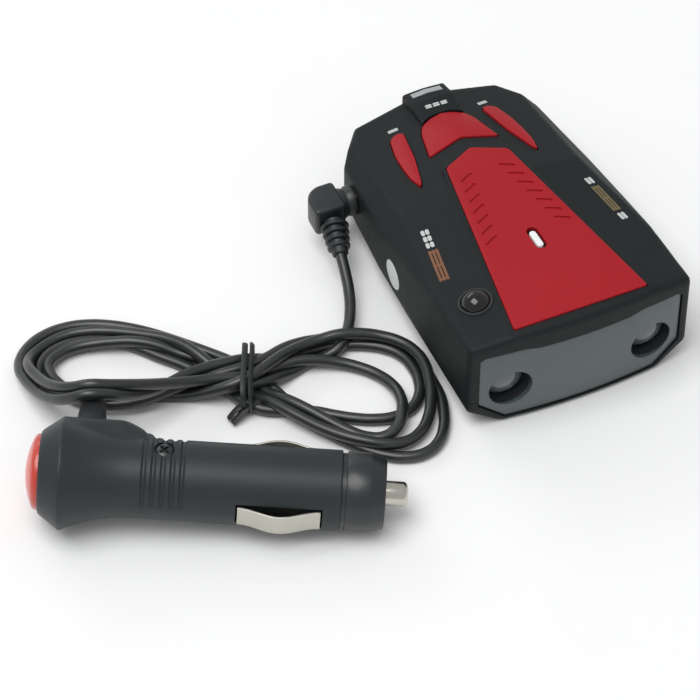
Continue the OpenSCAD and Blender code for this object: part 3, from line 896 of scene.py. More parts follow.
def swell(s, c, shape):
    """Height of a lobe between its tie and its round end, 1 at its widest"""
    rise, fall = shape
    peak = (rise / (rise + fall)) ** (rise / 2) * (fall / (rise + fall)) ** (fall / 2)
    return abs(s) ** rise * abs(c) ** fall / peak


def eight_point(angle, cord_d):
    """Place on the figure of eight, which runs backwards from its upper right arm"""
    s = math.sin(angle)
    c = math.cos(angle)
    turn = min(int(max(0.0, -angle) / math.tau + 1e-9), len(RIGHT_LOBES) - 1)
    if angle > 0:
        lobe = ENTRY_ARM
    else:
        lobe = RIGHT_LOBES[turn] if s > 0 else LEFT_LOBES[turn]
    reach, upper, lower, droop = lobe
    across = reach * s
    if s > 0 and c > 0:
        up = upper * swell(s, c, RIGHT_SHAPE)
    elif s > 0:
        up = -lower * swell(s, c, RIGHT_SHAPE)
    elif c > 0:
        up = -lower * swell(s, c, LOWER_LEFT_SHAPE)
    else:
        up = upper * swell(s, c, UPPER_LEFT_SHAPE)
    up += droop * s * s
    height = cord_d * (FIRST_TURN + TURN_RISE * turn)
    if s < 0 < c and lower > OVER_BOOT:
        height += BOOT_RISE * math.exp(-(((across - BOOT_AT) / BOOT_SPAN) ** 2))
    near = math.exp(-((across / PINCH) ** 2))
    crossing = round(-angle / math.pi)
    pair = crossing // 2
    lane = (3 * pair) % 4 - 1.5
    layer = (0 if crossing % 2 else 1) + pair // 4
    up += near * (lane * cord_d * LANE_PITCH + TIE_SHIFT)
    height += near * (TIE_UNDER + cord_d * (0.5 + layer) - height)
    return bundle_point(across, up, height)


def bundle_route(turns, cord_d):
    """Points of the whole figure of eight, from the entry arm to the last pass of the tie"""
    total = math.tau * turns + ENTRY_ANGLE
    count = int(STEPS_PER_TURN * total / math.tau)
    return [eight_point(ENTRY_ANGLE - total * i / count, cord_d) for i in range(count + 1)]


def even_points(points, step):
    """The same route with points a given distance apart"""
    spaced = [points[0].copy()]
    left = step
    for a, b in zip(points, points[1:]):
        length = (b - a).length
        done = 0.0
        while length - done >= left:
            done += left
            spaced.append(a.lerp(b, done / length))
            left = step
        left -= length - done
    spaced.append(points[-1].copy())
    return spaced


def smooth_route(points, rounds, keep):
    """Ease a route's corners, leaving a number of points at both ends alone"""
    for _ in range(rounds):
        before = [point.copy() for point in points]
        for i in range(keep, len(points) - keep):
            points[i] = before[i].lerp((before[i - 1] + before[i + 1]) / 2, 0.5)
    return points


# The stretch of the detector's left wall, and of the lighter plug, that the cord may lean on
WALL_STRETCH = (-51, 45)
LEFT_WALL_X = -33.0
PLUG_STRETCH = (-6, 100)
PLUG_REACH = 130
BOOT_R = 3.9


def clear_of_detector(point, radius):
    """Push a point out of the detector's left wall and the chamfer under it"""
    if not WALL_STRETCH[0] <= point.y <= WALL_STRETCH[1]:
        return
    slope = SIDE_CHAMFER[1]
    length = math.sqrt(1 + slope * slope)
    under = (-slope * point.x - point.z + SIDE_CHAMFER[0]) / length
    beside = LEFT_WALL_X - point.x
    inside = max(-under, beside)
    if inside < radius:
        if -under > beside:
            point.x -= (radius + under) * slope / length
            point.z = max(radius, point.z - (radius + under) / length)
        else:
            point.x -= radius - beside


def clear_of_plug(point, radius, inverse):
    """Push a point out of the lighter plug's housing and its cord stub"""
    local = inverse @ point
    if not PLUG_STRETCH[0] <= local.x <= PLUG_STRETCH[1]:
        return
    skin = flare(local.x) if local.x < FLARE_END else BARREL_R
    reach = math.hypot(local.y, local.z)
    if reach < skin + radius:
        push = (skin + radius) / max(reach, 1e-6)
        local.y *= push
        local.z *= push
    sideways = math.hypot(local.x - STUB_X, local.z)
    if HUMP_H - 2 < local.y < STUB_END and sideways < BOOT_R + radius:
        local.z = math.sqrt(max(0.0, (BOOT_R + radius) ** 2 - (local.x - STUB_X) ** 2))
    point.xyz = PLUG_FRAME @ local


# Settling: how far a point sinks in one round, how near strands may come in cord diameters,
# the part of an overlap that one round mends, and how many neighbours are the same strand
SINK = 0.035
STRAND_GAP = 1.02
MEND = 0.4
SAME_STRAND = 4
# Half the stretch along the bundle over which the tie's strap lies under the strands
TIE_HALF = 5
# Room between the cord's skin and the detector's wall, and the lighter plug
WALL_CLEARANCE = 0.25
PLUG_CLEARANCE = 0.2


def settled(points, cord_d, rounds, keep):
    """Let the cord sink under its weight until it rests on the floor and on itself"""
    radius = cord_d / 2
    apart = cord_d * STRAND_GAP
    start = [point.copy() for point in points]
    free = range(keep, len(points) - keep)
    inverse = PLUG_FRAME.inverted()
    for _ in range(rounds):
        tree = kdtree.KDTree(len(points))
        for i, point in enumerate(points):
            tree.insert(point, i)
        tree.balance()
        push = [Vector() for _ in points]
        for i in free:
            for other, j, gap in tree.find_range(points[i], apart):
                if abs(i - j) > SAME_STRAND and gap > 1e-6:
                    away = (points[i] - other) / gap
                    push[i] += away * (apart - gap) * MEND
        for i in free:
            points[i] += push[i]
            points[i].z -= SINK
        drift = [point - first for point, first in zip(points, start)]
        for i in free:
            eased = drift[i].lerp((drift[i - 1] + drift[i + 1]) / 2, 0.5)
            points[i] = start[i] + eased
            across = bundle_place(points[i])[0]
            pinch = math.exp(-((across / TIE_HALF) ** 4))
            points[i].z = max(points[i].z, radius + TIE_UNDER * pinch)
            clear_of_detector(points[i], radius + WALL_CLEARANCE)
            if point_near_plug(points[i]):
                clear_of_plug(points[i], radius + PLUG_CLEARANCE, inverse)
    return points


def point_near_plug(point):
    return point.y < 0 and (point - PLUG_AT).length < PLUG_REACH


def flare(x):
    """Radius of the housing between its rim and its straight barrel"""
    if x < RIM_X:
        return FACE_R + (RIM_R - FACE_R) * max(0.0, x - FACE_X) / (RIM_X - FACE_X)
    return BARREL_R + (RIM_R - BARREL_R) * ((FLARE_END - x) / (FLARE_END - RIM_X)) ** 2


# Points along the bundle, across it and over the floor, between the last lobe and the tail
APPROACH = [(-20, -5.5, 3.2), (-30, -7.4, 3.0)]
# Rounds of smoothing, and how many points at each end it and the settling leave alone
SMOOTH_ROUNDS = 6
SMOOTH_KEEP = 2
SETTLE_KEEP = 9


def cord_route(lead):
    """The cord's centreline in millimetres, from the small plug to the lighter plug"""
    cord_d = mm(lead.diameter)
    run = [Vector(point) for point in RUN_ROUTE]
    tail = [Vector(point) for point in TAIL_ROUTE]
    middle = bundle_route(lead.turns, cord_d)
    approach = [bundle_point(*place) for place in APPROACH]
    points = even_points(run + middle + approach + tail, mm(lead.step))
    points = smooth_route(points, SMOOTH_ROUNDS, SMOOTH_KEEP)
    return settled(points, cord_d, lead.settle, SETTLE_KEEP)


def cord_curve(name, points, radius, material):
    """A round cord as one open spline through points in millimetres"""
    curve = bpy.data.curves.new(name, "CURVE")
    curve.dimensions = "3D"
    curve.bevel_depth = radius * MM
    curve.bevel_resolution = 4
    curve.resolution_u = 4
    curve.use_fill_caps = True
    spline = curve.splines.new("BEZIER")
    spline.bezier_points.add(len(points) - 1)
    for knot, point in zip(spline.bezier_points, points):
        knot.co = point * MM
        knot.handle_left_type = "AUTO"
        knot.handle_right_type = "AUTO"
    curve.materials.append(material)
    obj = bpy.data.objects.new(name, curve)
    bpy.context.scene.collection.objects.link(obj)
    return obj


def swept(points, half_width, half_thickness, twist=0.0, sides=10):
    """A flat strip with round edges carried along points, twisted evenly on its way"""
    bm = bmesh.new()
    ring = bmesh.ops.create_circle(bm, cap_ends=False, segments=sides, radius=1.0)["verts"]
    shape = [Vector((v.co.x, v.co.y)) for v in ring]
    edges = bm.edges[:]
    first = edges
    up = Vector((0, 0, 1))
    for i, point in enumerate(points):
        after = points[min(i + 1, len(points) - 1)]
        before = points[max(i - 1, 0)]
        ahead = (after - before).normalized()
        side = up.cross(ahead)
        if side.length < 1e-3:
            side = Vector((1, 0, 0)).cross(ahead)
        side.normalize()
        up = ahead.cross(side).normalized()
        angle = twist * i / (len(points) - 1)
        flat = side * math.cos(angle) + up * math.sin(angle)
        thick = up * math.cos(angle) - side * math.sin(angle)
        if i > 0:
            made = bmesh.ops.extrude_edge_only(bm, edges=edges)["geom"]
            edges = [item for item in made if isinstance(item, bmesh.types.BMEdge)]
            new = {v for v in made if isinstance(v, bmesh.types.BMVert)}
            ring = next_ring(ring, new)
            edges = [edge for edge in edges if edge.verts[0] in new and edge.verts[1] in new]
        for vert, spot in zip(ring, shape):
            vert.co = point + flat * spot.x * half_width + thick * spot.y * half_thickness
    bmesh.ops.edgeloop_fill(bm, edges=first)
    bmesh.ops.edgeloop_fill(bm, edges=edges)
    bmesh.ops.recalc_face_normals(bm, faces=bm.faces)
    return bm


def next_ring(ring, new):
    """The extruded vertices in the same order as the ring that they came from"""
    following = []
    for vert in ring:
        for edge in vert.link_edges:
            other = edge.other_vert(vert)
            if other in new:
                following.append(other)
                break
    return following


# The tie's strap: half its width and thickness, the lowest its middle may lie, and its wraps,
# which spread along the bundle and have the section of a rounded box
TIE_STRAP = (0.85, 0.4)
TIE_FLOOR = 0.42
TIE_WRAPS = 2
TIE_SPREAD = 4.0
TIE_FIRST_ANGLE = math.radians(-100)
TIE_STEPS = 80
TIE_ROUND = 0.62
# The tie's two flattened ends, as places along the bundle and past its lower side
TIE_END_STRAP = (1.15, 0.5)
TIE_END_STEPS = 12
TIE_ENDS = [((3.6, 3.4), (-3.4, -3.2)), ((0.4, 1.6), (-4.6, -1.4))]


def rounded_wave(value):
    """A sine or cosine pushed outwards, so that a circle becomes a rounded box"""
    return math.copysign(abs(value) ** TIE_ROUND, value)


def tie_mesh(points, cord_d):
    """A strap tie: two wraps round the pinched cord and its two short ends"""
    near = []
    for point in points:
        across, up = bundle_place(point)
        if abs(across) < cord_d:
            near.append((up, point.z))
    low_up = min(up for up, _ in near)
    high_up = max(up for up, _ in near)
    top = max(height for _, height in near) + cord_d / 2
    half = (high_up - low_up + cord_d) / 2 + 0.5
    centre = (high_up + low_up) / 2
    middle = (top + 0.45) / 2
    rise = middle - TIE_FLOOR + 0.35
    wrap = []
    for i in range(TIE_STEPS + 1):
        angle = TIE_FIRST_ANGLE + math.tau * TIE_WRAPS * i / TIE_STEPS
        along = TIE_SPREAD * (i / TIE_STEPS - 0.5)
        up = centre + half * rounded_wave(math.cos(angle))
        height = middle + rise * rounded_wave(math.sin(angle))
        wrap.append(bundle_point(along, up, max(TIE_FLOOR, height)))
    parts = [swept(wrap, *TIE_STRAP)]
    for start, stop in TIE_ENDS:
        strand = []
        for i in range(TIE_END_STEPS + 1):
            part = i / TIE_END_STEPS
            along, up = Vector(start).lerp(Vector(stop), part)
            height = 3.4 - 2.4 * part + 1.2 * math.sin(math.pi * part)
            strand.append(bundle_point(along, centre - half + up, height))
        parts.append(swept(strand, *TIE_END_STRAP, twist=0.5))
    return joined(*parts)


def relief_mesh(length, start_r, end_r, ribs, rib_h):
    """A tapered sleeve along X with raised rings, which take up two thirds of their pitch"""
    profile = [(0, 0), (0, start_r)]
    pitch = (length - 2.2) / ribs
    for i in range(ribs):
        begin = 1.0 + i * pitch
        sleeve = start_r + (end_r - start_r) * (begin + pitch / 2) / length
        top = sleeve + rib_h * (1 - 0.09 * i)
        rising = [(0, sleeve), (0.08, top - 0.2), (0.2, top)]
        falling = [(0.46, top), (0.58, top - 0.2), (0.66, sleeve)]
        profile += [(begin + part * pitch, radius) for part, radius in rising + falling]
    profile += [(length - 0.3, end_r), (length, end_r - 0.25), (length, 0)]
    return turned(profile, 40)


def axis_frame(start, stop):
    """Frame at start whose X points to stop"""
    ahead = (Vector(stop) - Vector(start)).normalized()
    side = Vector((0, 0, 1)).cross(ahead).normalized()
    up = ahead.cross(side)
    return Matrix.Translation(start) @ Matrix((ahead, side, up)).transposed().to_4x4()


class DETECTOR_OT_cord(bpy.types.Operator):
    """Lay the cord, its tie and its two strain reliefs"""

    bl_idname = "detector.cord"
    bl_label = "Cord, tie and strain reliefs"

    def execute(self, context):
        lead = context.scene.lead_sizes
        cord_d = mm(lead.diameter)
        black = finish_moulding("rubber_relief", 0.46)
        points = cord_route(lead)
        knots = points[:-1:2] + [points[-1]]
        cord = cord_curve("cord", knots, cord_d / 2, finish_cord())
        attached(cord, "lead", ("cord_run", "cord_bundle", "cord_tail"))
        strap = tie_mesh(points, cord_d)
        sleeving = finish_moulding("tie_sleeve", 0.5)
        tie = finished(strap, "twist_tie", sleeving, "lead", ("cord_tie",))
        length = (Vector(RELIEF_TO) - Vector(RELIEF_FROM)).length
        sleeve = relief_mesh(length + 0.6, start_r=3.0, end_r=2.25, ribs=4, rib_h=1.15)
        placed(sleeve, axis_frame(RELIEF_FROM, RELIEF_TO))
        relief = finished(sleeve, "ribbed_relief", black, "lead", ("dc_strain_relief",))
        boot = turned([
            (8.8, 0), (8.8, 3.6), (HUMP_H - 1.2, 4.9), (HUMP_H + 0.2, 4.7), (HUMP_H + 1.2, 4.2),
            (STUB_END - 4, 3.5), (STUB_END - 0.8, 3.3), (STUB_END - 0.2, 3.05), (STUB_END, 2.6),
            (STUB_END, 0)
        ], 48)
        placed(boot, PLUG_FRAME @ Matrix.Translation((STUB_X, 0, 0)) @ LENGTHWAYS)
        stub = finished(boot, "plug_cord_boot", black, "lead", ("plug_relief",), sharp=50)
        return {"FINISHED"}


# ---- detector shells -----------------------------------------------------

DOME_PLANE = (SHOULDER[0], -SHOULDER[1], SHOULDER[2])
POD_TOP = (20.42, 0.0, 0.1556)
POD_PROFILE = [(36, 20), (36, 26), (45, 27.4), (52, 25.2), (52, 20)]
POD_HALF = 6.5
CHEVRON = [(-4.6, 47.6), (0, 48.1), (4.6, 47.6), (4.6, 49.8), (0, 50.3), (-4.6, 49.8)]
# Heights under the panel and over everything, between which the top's blocks are cut
UNDER_PANEL = 24
OVER_ALL = 45
WALL_X = -30.9
SEAT_DEPTH = 0.9
BUTTON_CORNER = 0.9
DOME_R = 4.0
RING_R = 4.85
EYE_X = 21
EYE_Z = 12.6
DISPLAY_HALF = 16.9
DISPLAY_Z = (7.1, 17.9)


def planed_block(inwards):
    """The detector's outer planes as one block, all moved inwards"""
    bm = prism(plan_outline(inwards), inwards, OVER_ALL)
    slopes = [CROWN]
    for plane in (SHOULDER, FAR_SLOPE, EDGE_CUT):
        slopes += [plane, mirrored_plane(plane)]
    for plane in slopes:
        cut_over(bm, plane, -inwards)
    for plane in (SIDE_CHAMFER, mirrored_plane(SIDE_CHAMFER), FAR_CHAMFER):
        cut_under(bm, plane, inwards)
    return bm


def rounded_block(radius, step):
    """The block with rounded edges: a dense skin laid at one radius from a smaller block"""
    core = BVHTree.FromBMesh(planed_block(radius))
    dense = through_modifier(planed_block(0.0), "REMESH", mode="VOXEL", voxel_size=step)
    for vert in dense.verts:
        nearest = core.find_nearest(vert.co)[0]
        vert.co = nearest + (vert.co - nearest).normalized() * radius
    return dense


def lengthwise_prism(profile, low, high):
    """A block from a profile in Y and Z, pushed along X"""
    bm = prism(profile, low, high)
    placed(bm, Matrix(((0, 0, 1, 0), (1, 0, 0, 0), (0, 1, 0, 0), (0, 0, 0, 1))))
    bmesh.ops.recalc_face_normals(bm, faces=bm.faces)
    return bm


def rear_pod():
    """Low pod over the rear lens, cut to the far edge of the plan"""
    bm = lengthwise_prism(POD_PROFILE, -POD_HALF, POD_HALF)
    soften(bm, edges_above(bm, 21), 0.7)
    return combined(bm, prism(plan_outline(0.35), 10, 40), "INTERSECT")


def panel_bed():
    """Ledge that carries the red panel over the shoulders"""
    bm = prism(grown(both(PANEL_HALF), 1.2), UNDER_PANEL, 40)
    cut_over(bm, CROWN, 0.05)
    soften(bm, edges_above(bm, 25), 0.4)
    return bm


def is_upright(edge):
    return abs(edge.verts[0].co.z - edge.verts[1].co.z) > 1


def rounded_prism(outline, low, high, corner_r):
    """A block with rounded upright corners"""
    bm = prism(outline, low, high)
    soften(bm, sharp_edges(bm, math.radians(8), is_upright), corner_r)
    return bm


def bowed_plate(outline, front, back, corner_r=0.0, strips=28):
    """An outline seen from the front, as a plate between two depths behind the bowed face"""
    bm = prism(outline, front, back)
    if corner_r > 0:
        soften(bm, sharp_edges(bm, where=lambda edge: middle_of(edge).z < front + 0.01), corner_r)
    for i in range(1, strips):
        score(bm, Vector((-31 + 62 * i / strips, 0, 0)), Vector((1, 0, 0)))
    for vert in bm.verts:
        x, up, depth = vert.co
        vert.co = (x, bow_y(x, depth), up)
    bmesh.ops.recalc_face_normals(bm, faces=bm.faces)
    return bm


def slot_outline(middle, length, width):
    """A slot along Y with round ends"""
    reach = (length - width) / 2
    far = arc((middle[0], middle[1] + reach), width / 2, 0, 180, 9)
    return far + arc((middle[0], middle[1] - reach), width / 2, 180, 360, 9)


def button_outlines():
    return {"left": flipped(SLIM_OUTLINE), "middle": both(MIDDLE_HALF), "right": SLIM_OUTLINE}


def shared_cutters():
    """The openings that the seam crosses: window, display, socket and side sticker's recess"""
    window = bowed_plate(both(WINDOW_HALF), -8, 2.4)
    display = box((-17, 46.5, 7), (17, 56, 18))
    socket = cylinder(WALL_X - 5, WALL_X + 4, 3.9, Matrix.Translation((0, *SOCKET)))
    recess = cylinder(-2, 0.3, 4.6, SIDE_LABEL_FRAME)
    return window, display, socket, recess


def top_cutters(sizes):
    """All openings of the top shell, as separate closed solids"""
    gap = mm(sizes.button_gap)
    seat = prism(grown(both(PANEL_HALF), 0.15), UNDER_PANEL, OVER_ALL)
    cut_under(seat, CROWN, -SEAT_DEPTH)
    seat = combined(seat, prism(slot_outline(PIPE_AT, 6.6, 2.2), 20, 32), "UNION")
    slots = []
    for line in button_outlines().values():
        slots.append(rounded_prism(grown(line, gap), 14, OVER_ALL, BUTTON_CORNER + gap))
    dome = cylinder(-6, 4, RING_R + 0.05, surface_frame(DOME_PLANE, *DOME_AT) @ UPRIGHT)
    return joined(seat, dome, *slots, *shared_cutters(), prism(grown(CHEVRON, 0.05), 20, 40))


def bottom_cutters():
    """All openings of the bottom shell"""
    slots = []
    for i in range(-3, 4):
        middle = (SPEAKER_AT[0] + VENT_PITCH * i, SPEAKER_AT[1])
        slots.append(prism(slot_outline(middle, 16, 1.6), -1, 5))
    wells = []
    for x, y in CASE_SCREWS:
        well = turned([(-1, 0), (-1, 2.7), (3, 2.7), (3, 1.5), (8, 1.5), (8, 0)], 32)
        wells.append(placed(well, Matrix.Translation((x, y, 0)) @ UPRIGHT))
    label = box((-16, -30, -1), (16, -14, 0.3))
    return joined(label, *slots, *wells, *shared_cutters())


def roof_height(x, y):
    """Height of the shell over a place on the base"""
    planes = [CROWN, SHOULDER, mirrored_plane(SHOULDER), FAR_SLOPE, mirrored_plane(FAR_SLOPE)]
    return min(plane[0] + plane[1] * x + plane[2] * y for plane in planes)


def screw_boss(at, low, high, bore, outer):
    """An upright tube for a case screw, by its heights and its two radii"""
    ring = turned([(low, bore), (low, outer), (high, outer), (high, bore)], 32, closed=True)
    return placed(ring, Matrix.Translation((*at, 0)) @ UPRIGHT)


def half_shell(body, wall, seam, side, cutters):
    """One side of the seam, hollowed and cut: side is 1 below the seam and -1 above it"""
    trim(body, Vector((0, 0, seam)), Vector((0, 0, side)))
    hollow = combined(body, planed_block(wall))
    return combined(hollow, cutters)


class DETECTOR_OT_shells(bpy.types.Operator):
    """Make the top and bottom shells with every opening, boss and vent"""

    bl_idname = "detector.shells"
    bl_label = "Top and bottom shells"

    def execute(self, context):
        sizes = context.scene.detector_sizes
        wall = mm(sizes.wall)
        seam = mm(sizes.seam_height)
        gap = mm(sizes.seam_gap) / 2
        body = rounded_block(mm(sizes.edge_radius), mm(sizes.grain))
        lower = half_shell(body.copy(), wall, seam - gap, 1, bottom_cutters())
        body = combined(body, rear_pod(), "UNION")
        body = combined(body, panel_bed(), "UNION")
        upper = half_shell(body, wall, seam + gap, -1, top_cutters(sizes))
        low_bosses = []
        high_bosses = []
        for at in CASE_SCREWS:
            low_bosses.append(screw_boss(at, 3.2, seam - 0.1, 1.5, 3.4))
            high_bosses.append(screw_boss(at, seam + 0.1, roof_height(*at) - 1.5, 1.1, 3.0))
        shells = {"top": joined(upper, *high_bosses), "bottom": joined(lower, *low_bosses)}
        soft_touch = finish_shell()
        for name, bm in shells.items():
            nodes = (f"{name}_shell",)
            finished(bm, f"{name}_case", soft_touch, "detector", nodes, 48)
        return {"FINISHED"}


def cross_recess(reach, half_width, low, high):
    """A cross-shaped prism that cuts a screw's drive"""
    a = reach
    b = half_width
    cross = []
    for quarter in range(4):
        turn = Matrix.Rotation(quarter * math.pi / 2, 2)
        cross += [tuple(turn @ Vector(corner)) for corner in ((a, -b), (a, b), (b, b))]
    return prism(cross, low, high)


def screw_mesh(head_r, head_h, shank_r, shank_l):
    """A pan-head screw standing on Z = 0 with its shank below, and a cross in its head"""
    shank = [(-shank_l, 0), (-shank_l + 0.4, shank_r), (0, shank_r)]
    crown = [(0, 1), (0.45, 1), (0.8, 0.82), (1, 0.5), (1, 0)]
    head = [(head_h * height, head_r * radius) for height, radius in crown]
    bm = turned(shank + head, 36)
    placed(bm, UPRIGHT)
    return combined(bm, cross_recess(head_r * 0.62, head_r * 0.13, head_h * 0.3, head_h + 1))


class DETECTOR_OT_screws(bpy.types.Operator):
    """Make the case screws, the rating label and the side sticker"""

    bl_idname = "detector.screws"
    bl_label = "Case screws and labels"

    def execute(self, context):
        screws = []
        for x, y in CASE_SCREWS:
            screw = screw_mesh(head_r=2.4, head_h=1.6, shank_r=1.1, shank_l=12)
            head_down = Matrix.Translation((x, y, 3)) @ Matrix.Rotation(math.pi, 4, "X")
            screws.append(placed(screw, head_down))
        steel = finish_steel()
        finished(joined(*screws), "case_screw_set", steel, "detector", ("case_screws",))
        corners = [(-15.5, -29.5), (15.5, -29.5), (15.5, -14.5), (-15.5, -14.5)]
        label = rounded_prism(corners, 0.1, 0.3, 1.2)
        paper = finish_label()
        finished(label, "underside_label", paper, "detector", ("rating_label",))
        disc = turned([(0.05, 0), (0.05, 4.2), (0.12, 4.45), (0.3, 4.5), (0.3, 0)], 56)
        placed(disc, SIDE_LABEL_FRAME)
        finished(disc, "side_sticker", paper, "detector", ("side_label",))
        return {"FINISHED"}


# ---- window, lenses, panel and buttons -----------------------------------


EYE_FRAMES = {
    "left": Matrix.Translation((-EYE_X, 0, EYE_Z)) @ LENGTHWAYS,
    "right": Matrix.Translation((EYE_X, 0, EYE_Z)) @ LENGTHWAYS,
}
# Closed section of a lens cup, as places along the detector and radii
CUP_PROFILE = [
    (-40, 2.6), (-42, 2.6), (-42, 6.0), (-49.3, 6.0), (-49.5, 6.04), (-49.5, 6.14), (-47.9, 6.15),
    (-47.9, 7.3), (-40, 7.3)
]


class DETECTOR_OT_window(bpy.types.Operator):
    """Make the smoked window, the two lens cups and their laser lenses"""

    bl_idname = "detector.window"
    bl_label = "Window and laser lenses"

    def execute(self, context):
        eye_r = mm(context.scene.detector_sizes.eye_radius)
        plate = bowed_plate(grown(both(WINDOW_HALF), -0.25), 0.45, 2.3, 0.35)
        eyes = [cylinder(-60, -40, eye_r, frame_of) for frame_of in EYE_FRAMES.values()]
        plate = combined(plate, joined(*eyes))
        smoked = finish_window()
        finished(plate, "window_plate", smoked, "detector", ("front_window",), 40)
        cups = [placed(turned(CUP_PROFILE, closed=True), frame_of) for frame_of in EYE_FRAMES.values()]
        dark = finish_moulding("lens_cup", 0.3, 0.3)
        finished(joined(*cups), "lens_cup_pair", dark, "detector", ("lens_cups",))
        glass = finish_clear("laser_lens", (0.1, 0.118, 0.124), 0.16)
        dome = arc((-39.8, 0), 8.6, 137, 180, 12)
        section = [(-43.4, 0), (-43.4, 5.9), (-45.9, 5.9)] + dome[:-1] + [(-48.4, 0)]
        for name, frame_of in EYE_FRAMES.items():
            lens = placed(turned(section), frame_of)
            finished(lens, f"{name}_eye_lens", glass, "detector", (f"laser_lens_{name}",))
        return {"FINISHED"}


# Panel's louvres: how many in a column, the first one's place, the step to the next, and slant
LOUVRES = 7
LOUVRE_FIRST = (6.2, 9.5)
LOUVRE_STEP = (0.75, -4.2)
LOUVRE_SLANT = 28


def panel_louvres(floor_lift):
    """Slanted slots in two columns, each a closed block over the louvre's floor"""
    blocks = []
    floor = CROWN[0] + floor_lift
    for side in (-1, 1):
        for i in range(LOUVRES):
            x = side * (LOUVRE_FIRST[0] + LOUVRE_STEP[0] * i)
            y = LOUVRE_FIRST[1] + LOUVRE_STEP[1] * i
            slot = prism(slot_outline((0, 0), 4.6, 0.9), floor + CROWN[2] * y, 40)
            turn = Matrix.Rotation(math.radians(90 - side * LOUVRE_SLANT), 4, "Z")
            blocks.append(placed(slot, Matrix.Translation((x, y, 0)) @ turn))
    return joined(*blocks)


def over_crown(edge):
    middle = middle_of(edge)
    return middle.z > roof_height(0, middle.y)


class DETECTOR_OT_panel(bpy.types.Operator):
    """Make the red panel with its louvres and the light pipe"""

    bl_idname = "detector.panel"
    bl_label = "Red panel and light pipe"

    def execute(self, context):
        proud = mm(context.scene.detector_sizes.proud)
        bm = rounded_prism(both(PANEL_HALF), UNDER_PANEL, OVER_ALL, 0.8)
        cut_over(bm, CROWN, proud)
        cut_under(bm, CROWN, -SEAT_DEPTH)
        rim = sharp_edges(bm, math.radians(40), over_crown)
        soften(bm, rim, 0.32)
        bm = combined(bm, panel_louvres(proud - 0.35))
        bm = combined(bm, prism(slot_outline(PIPE_AT, 8.6, 3.2), 20, OVER_ALL))
        finished(bm, "panel", finish_red(), "detector", ("red_panel",), 30)
        pipe = prism(slot_outline(PIPE_AT, 6.4, 2.0), 26, OVER_ALL)
        cut_over(pipe, CROWN, 0.25)
        soften(pipe, edges_above(pipe, 31, 60), 0.3)
        # Partly painted highlight: the near-white tint is the pipe's own pale plastic together with a
        # painted glint in the slot
        clear = finish_clear("light_pipe_pale_with_painted_glint", (0.86, 0.88, 0.88), 0.1)
        finished(pipe, "alert_light_pipe", clear, "detector", ("light_pipe",))
        return {"FINISHED"}


# A point on the rear lens's sloping face, and the face's upward normal
REAR_LENS_AT = Vector((0, 40, 29.4))
REAR_LENS_UP = Vector((0, 3.8, 12)).normalized()


class DETECTOR_OT_sensor(bpy.types.Operator):
    """Make the light sensor's dome and ring, the rear lens and the display window"""

    bl_idname = "detector.sensor"
    bl_label = "Sensor dome, rear lens and display window"

    def execute(self, context):
        frame_of = surface_frame(DOME_PLANE, *DOME_AT) @ UPRIGHT
        ring = turned([
            (-2.6, 2.6), (-2.6, RING_R), (0.25, RING_R), (0.5, RING_R - 0.25), (0.5, DOME_R + 0.2),
            (0.3, DOME_R + 0.02), (-1.6, DOME_R + 0.02), (-1.6, 2.6)
        ], closed=True)
        collar = finish_moulding("sensor_collar", 0.4)
        finished(placed(ring, frame_of), "sensor_ring", collar, "detector", ("dome_ring",))
        cap = [point for point in arc((-1.4, 0), 4.4, 65, 0, 14) if point[1] < DOME_R - 0.01]
        dome = placed(turned([(-1.6, 0), (-1.6, DOME_R)] + cap), frame_of)
        gloss = finish_gloss_black()
        finished(dome, "light_sensor_dome", gloss, "detector", ("sensor_dome",), 40)
        lens = prism(CHEVRON, 23.5, 40)
        trim(lens, REAR_LENS_AT, REAR_LENS_UP)
        soften(lens, edges_above(lens, 25.5), 0.3)
        # Painted highlight: the chevron lens is tinted pale to stand for the glint along the rear lens's
        # top edge
        pale = finish_clear("rear_lens_with_painted_glint", (0.34, 0.37, 0.39), 0.14)
        finished(lens, "rear_laser_lens", pale, "detector", ("rear_lens",))
        outer = [(DISPLAY_HALF, 49.7), (0, 51.55), (-DISPLAY_HALF, 49.7)]
        inner = [(-DISPLAY_HALF, 48.2), (0, 50.05), (DISPLAY_HALF, 48.2)]
        window = prism(outer + inner, *DISPLAY_Z)
        soften(window, sharp_edges(window, math.radians(60)), 0.3)
        smoke = finish_clear("display_smoke", (0.03, 0.022, 0.026), 0.07)
        finished(window, "display_filter", smoke, "detector", ("display_window",))
        return {"FINISHED"}


def button_mesh(outline, stem_at, proud):
    """A top button whose face follows both far slopes, with its flange and stem"""
    bm = rounded_prism(outline, 20.2, OVER_ALL, BUTTON_CORNER)
    for plane in (FAR_SLOPE, mirrored_plane(FAR_SLOPE)):
        cut_over(bm, plane, proud)
    soften(bm, edges_above(bm, 21, 50), 0.45)
    flange = prism(grown(outline, 0.9), 19, 20.4)
    stem = cylinder(15.6, 19.2, 1.5, Matrix.Translation((*stem_at, 0)) @ UPRIGHT, 24)
    return joined(bm, flange, stem)


class DETECTOR_OT_buttons(bpy.types.Operator):
    """Make the three red top buttons"""

    bl_idname = "detector.buttons"
    bl_label = "Top buttons"

    def execute(self, context):
        proud = mm(context.scene.detector_sizes.proud)
        red = finish_red()
        stems = {"left": (-16.6, 26), "middle": (0, 32), "right": (16.6, 26)}
        for side, outline in button_outlines().items():
            bm = button_mesh(outline, stems[side], proud)
            name = f"{side}_button"
            finished(bm, f"{side}_key", red, name, (name,), 30)
        return {"FINISHED"}


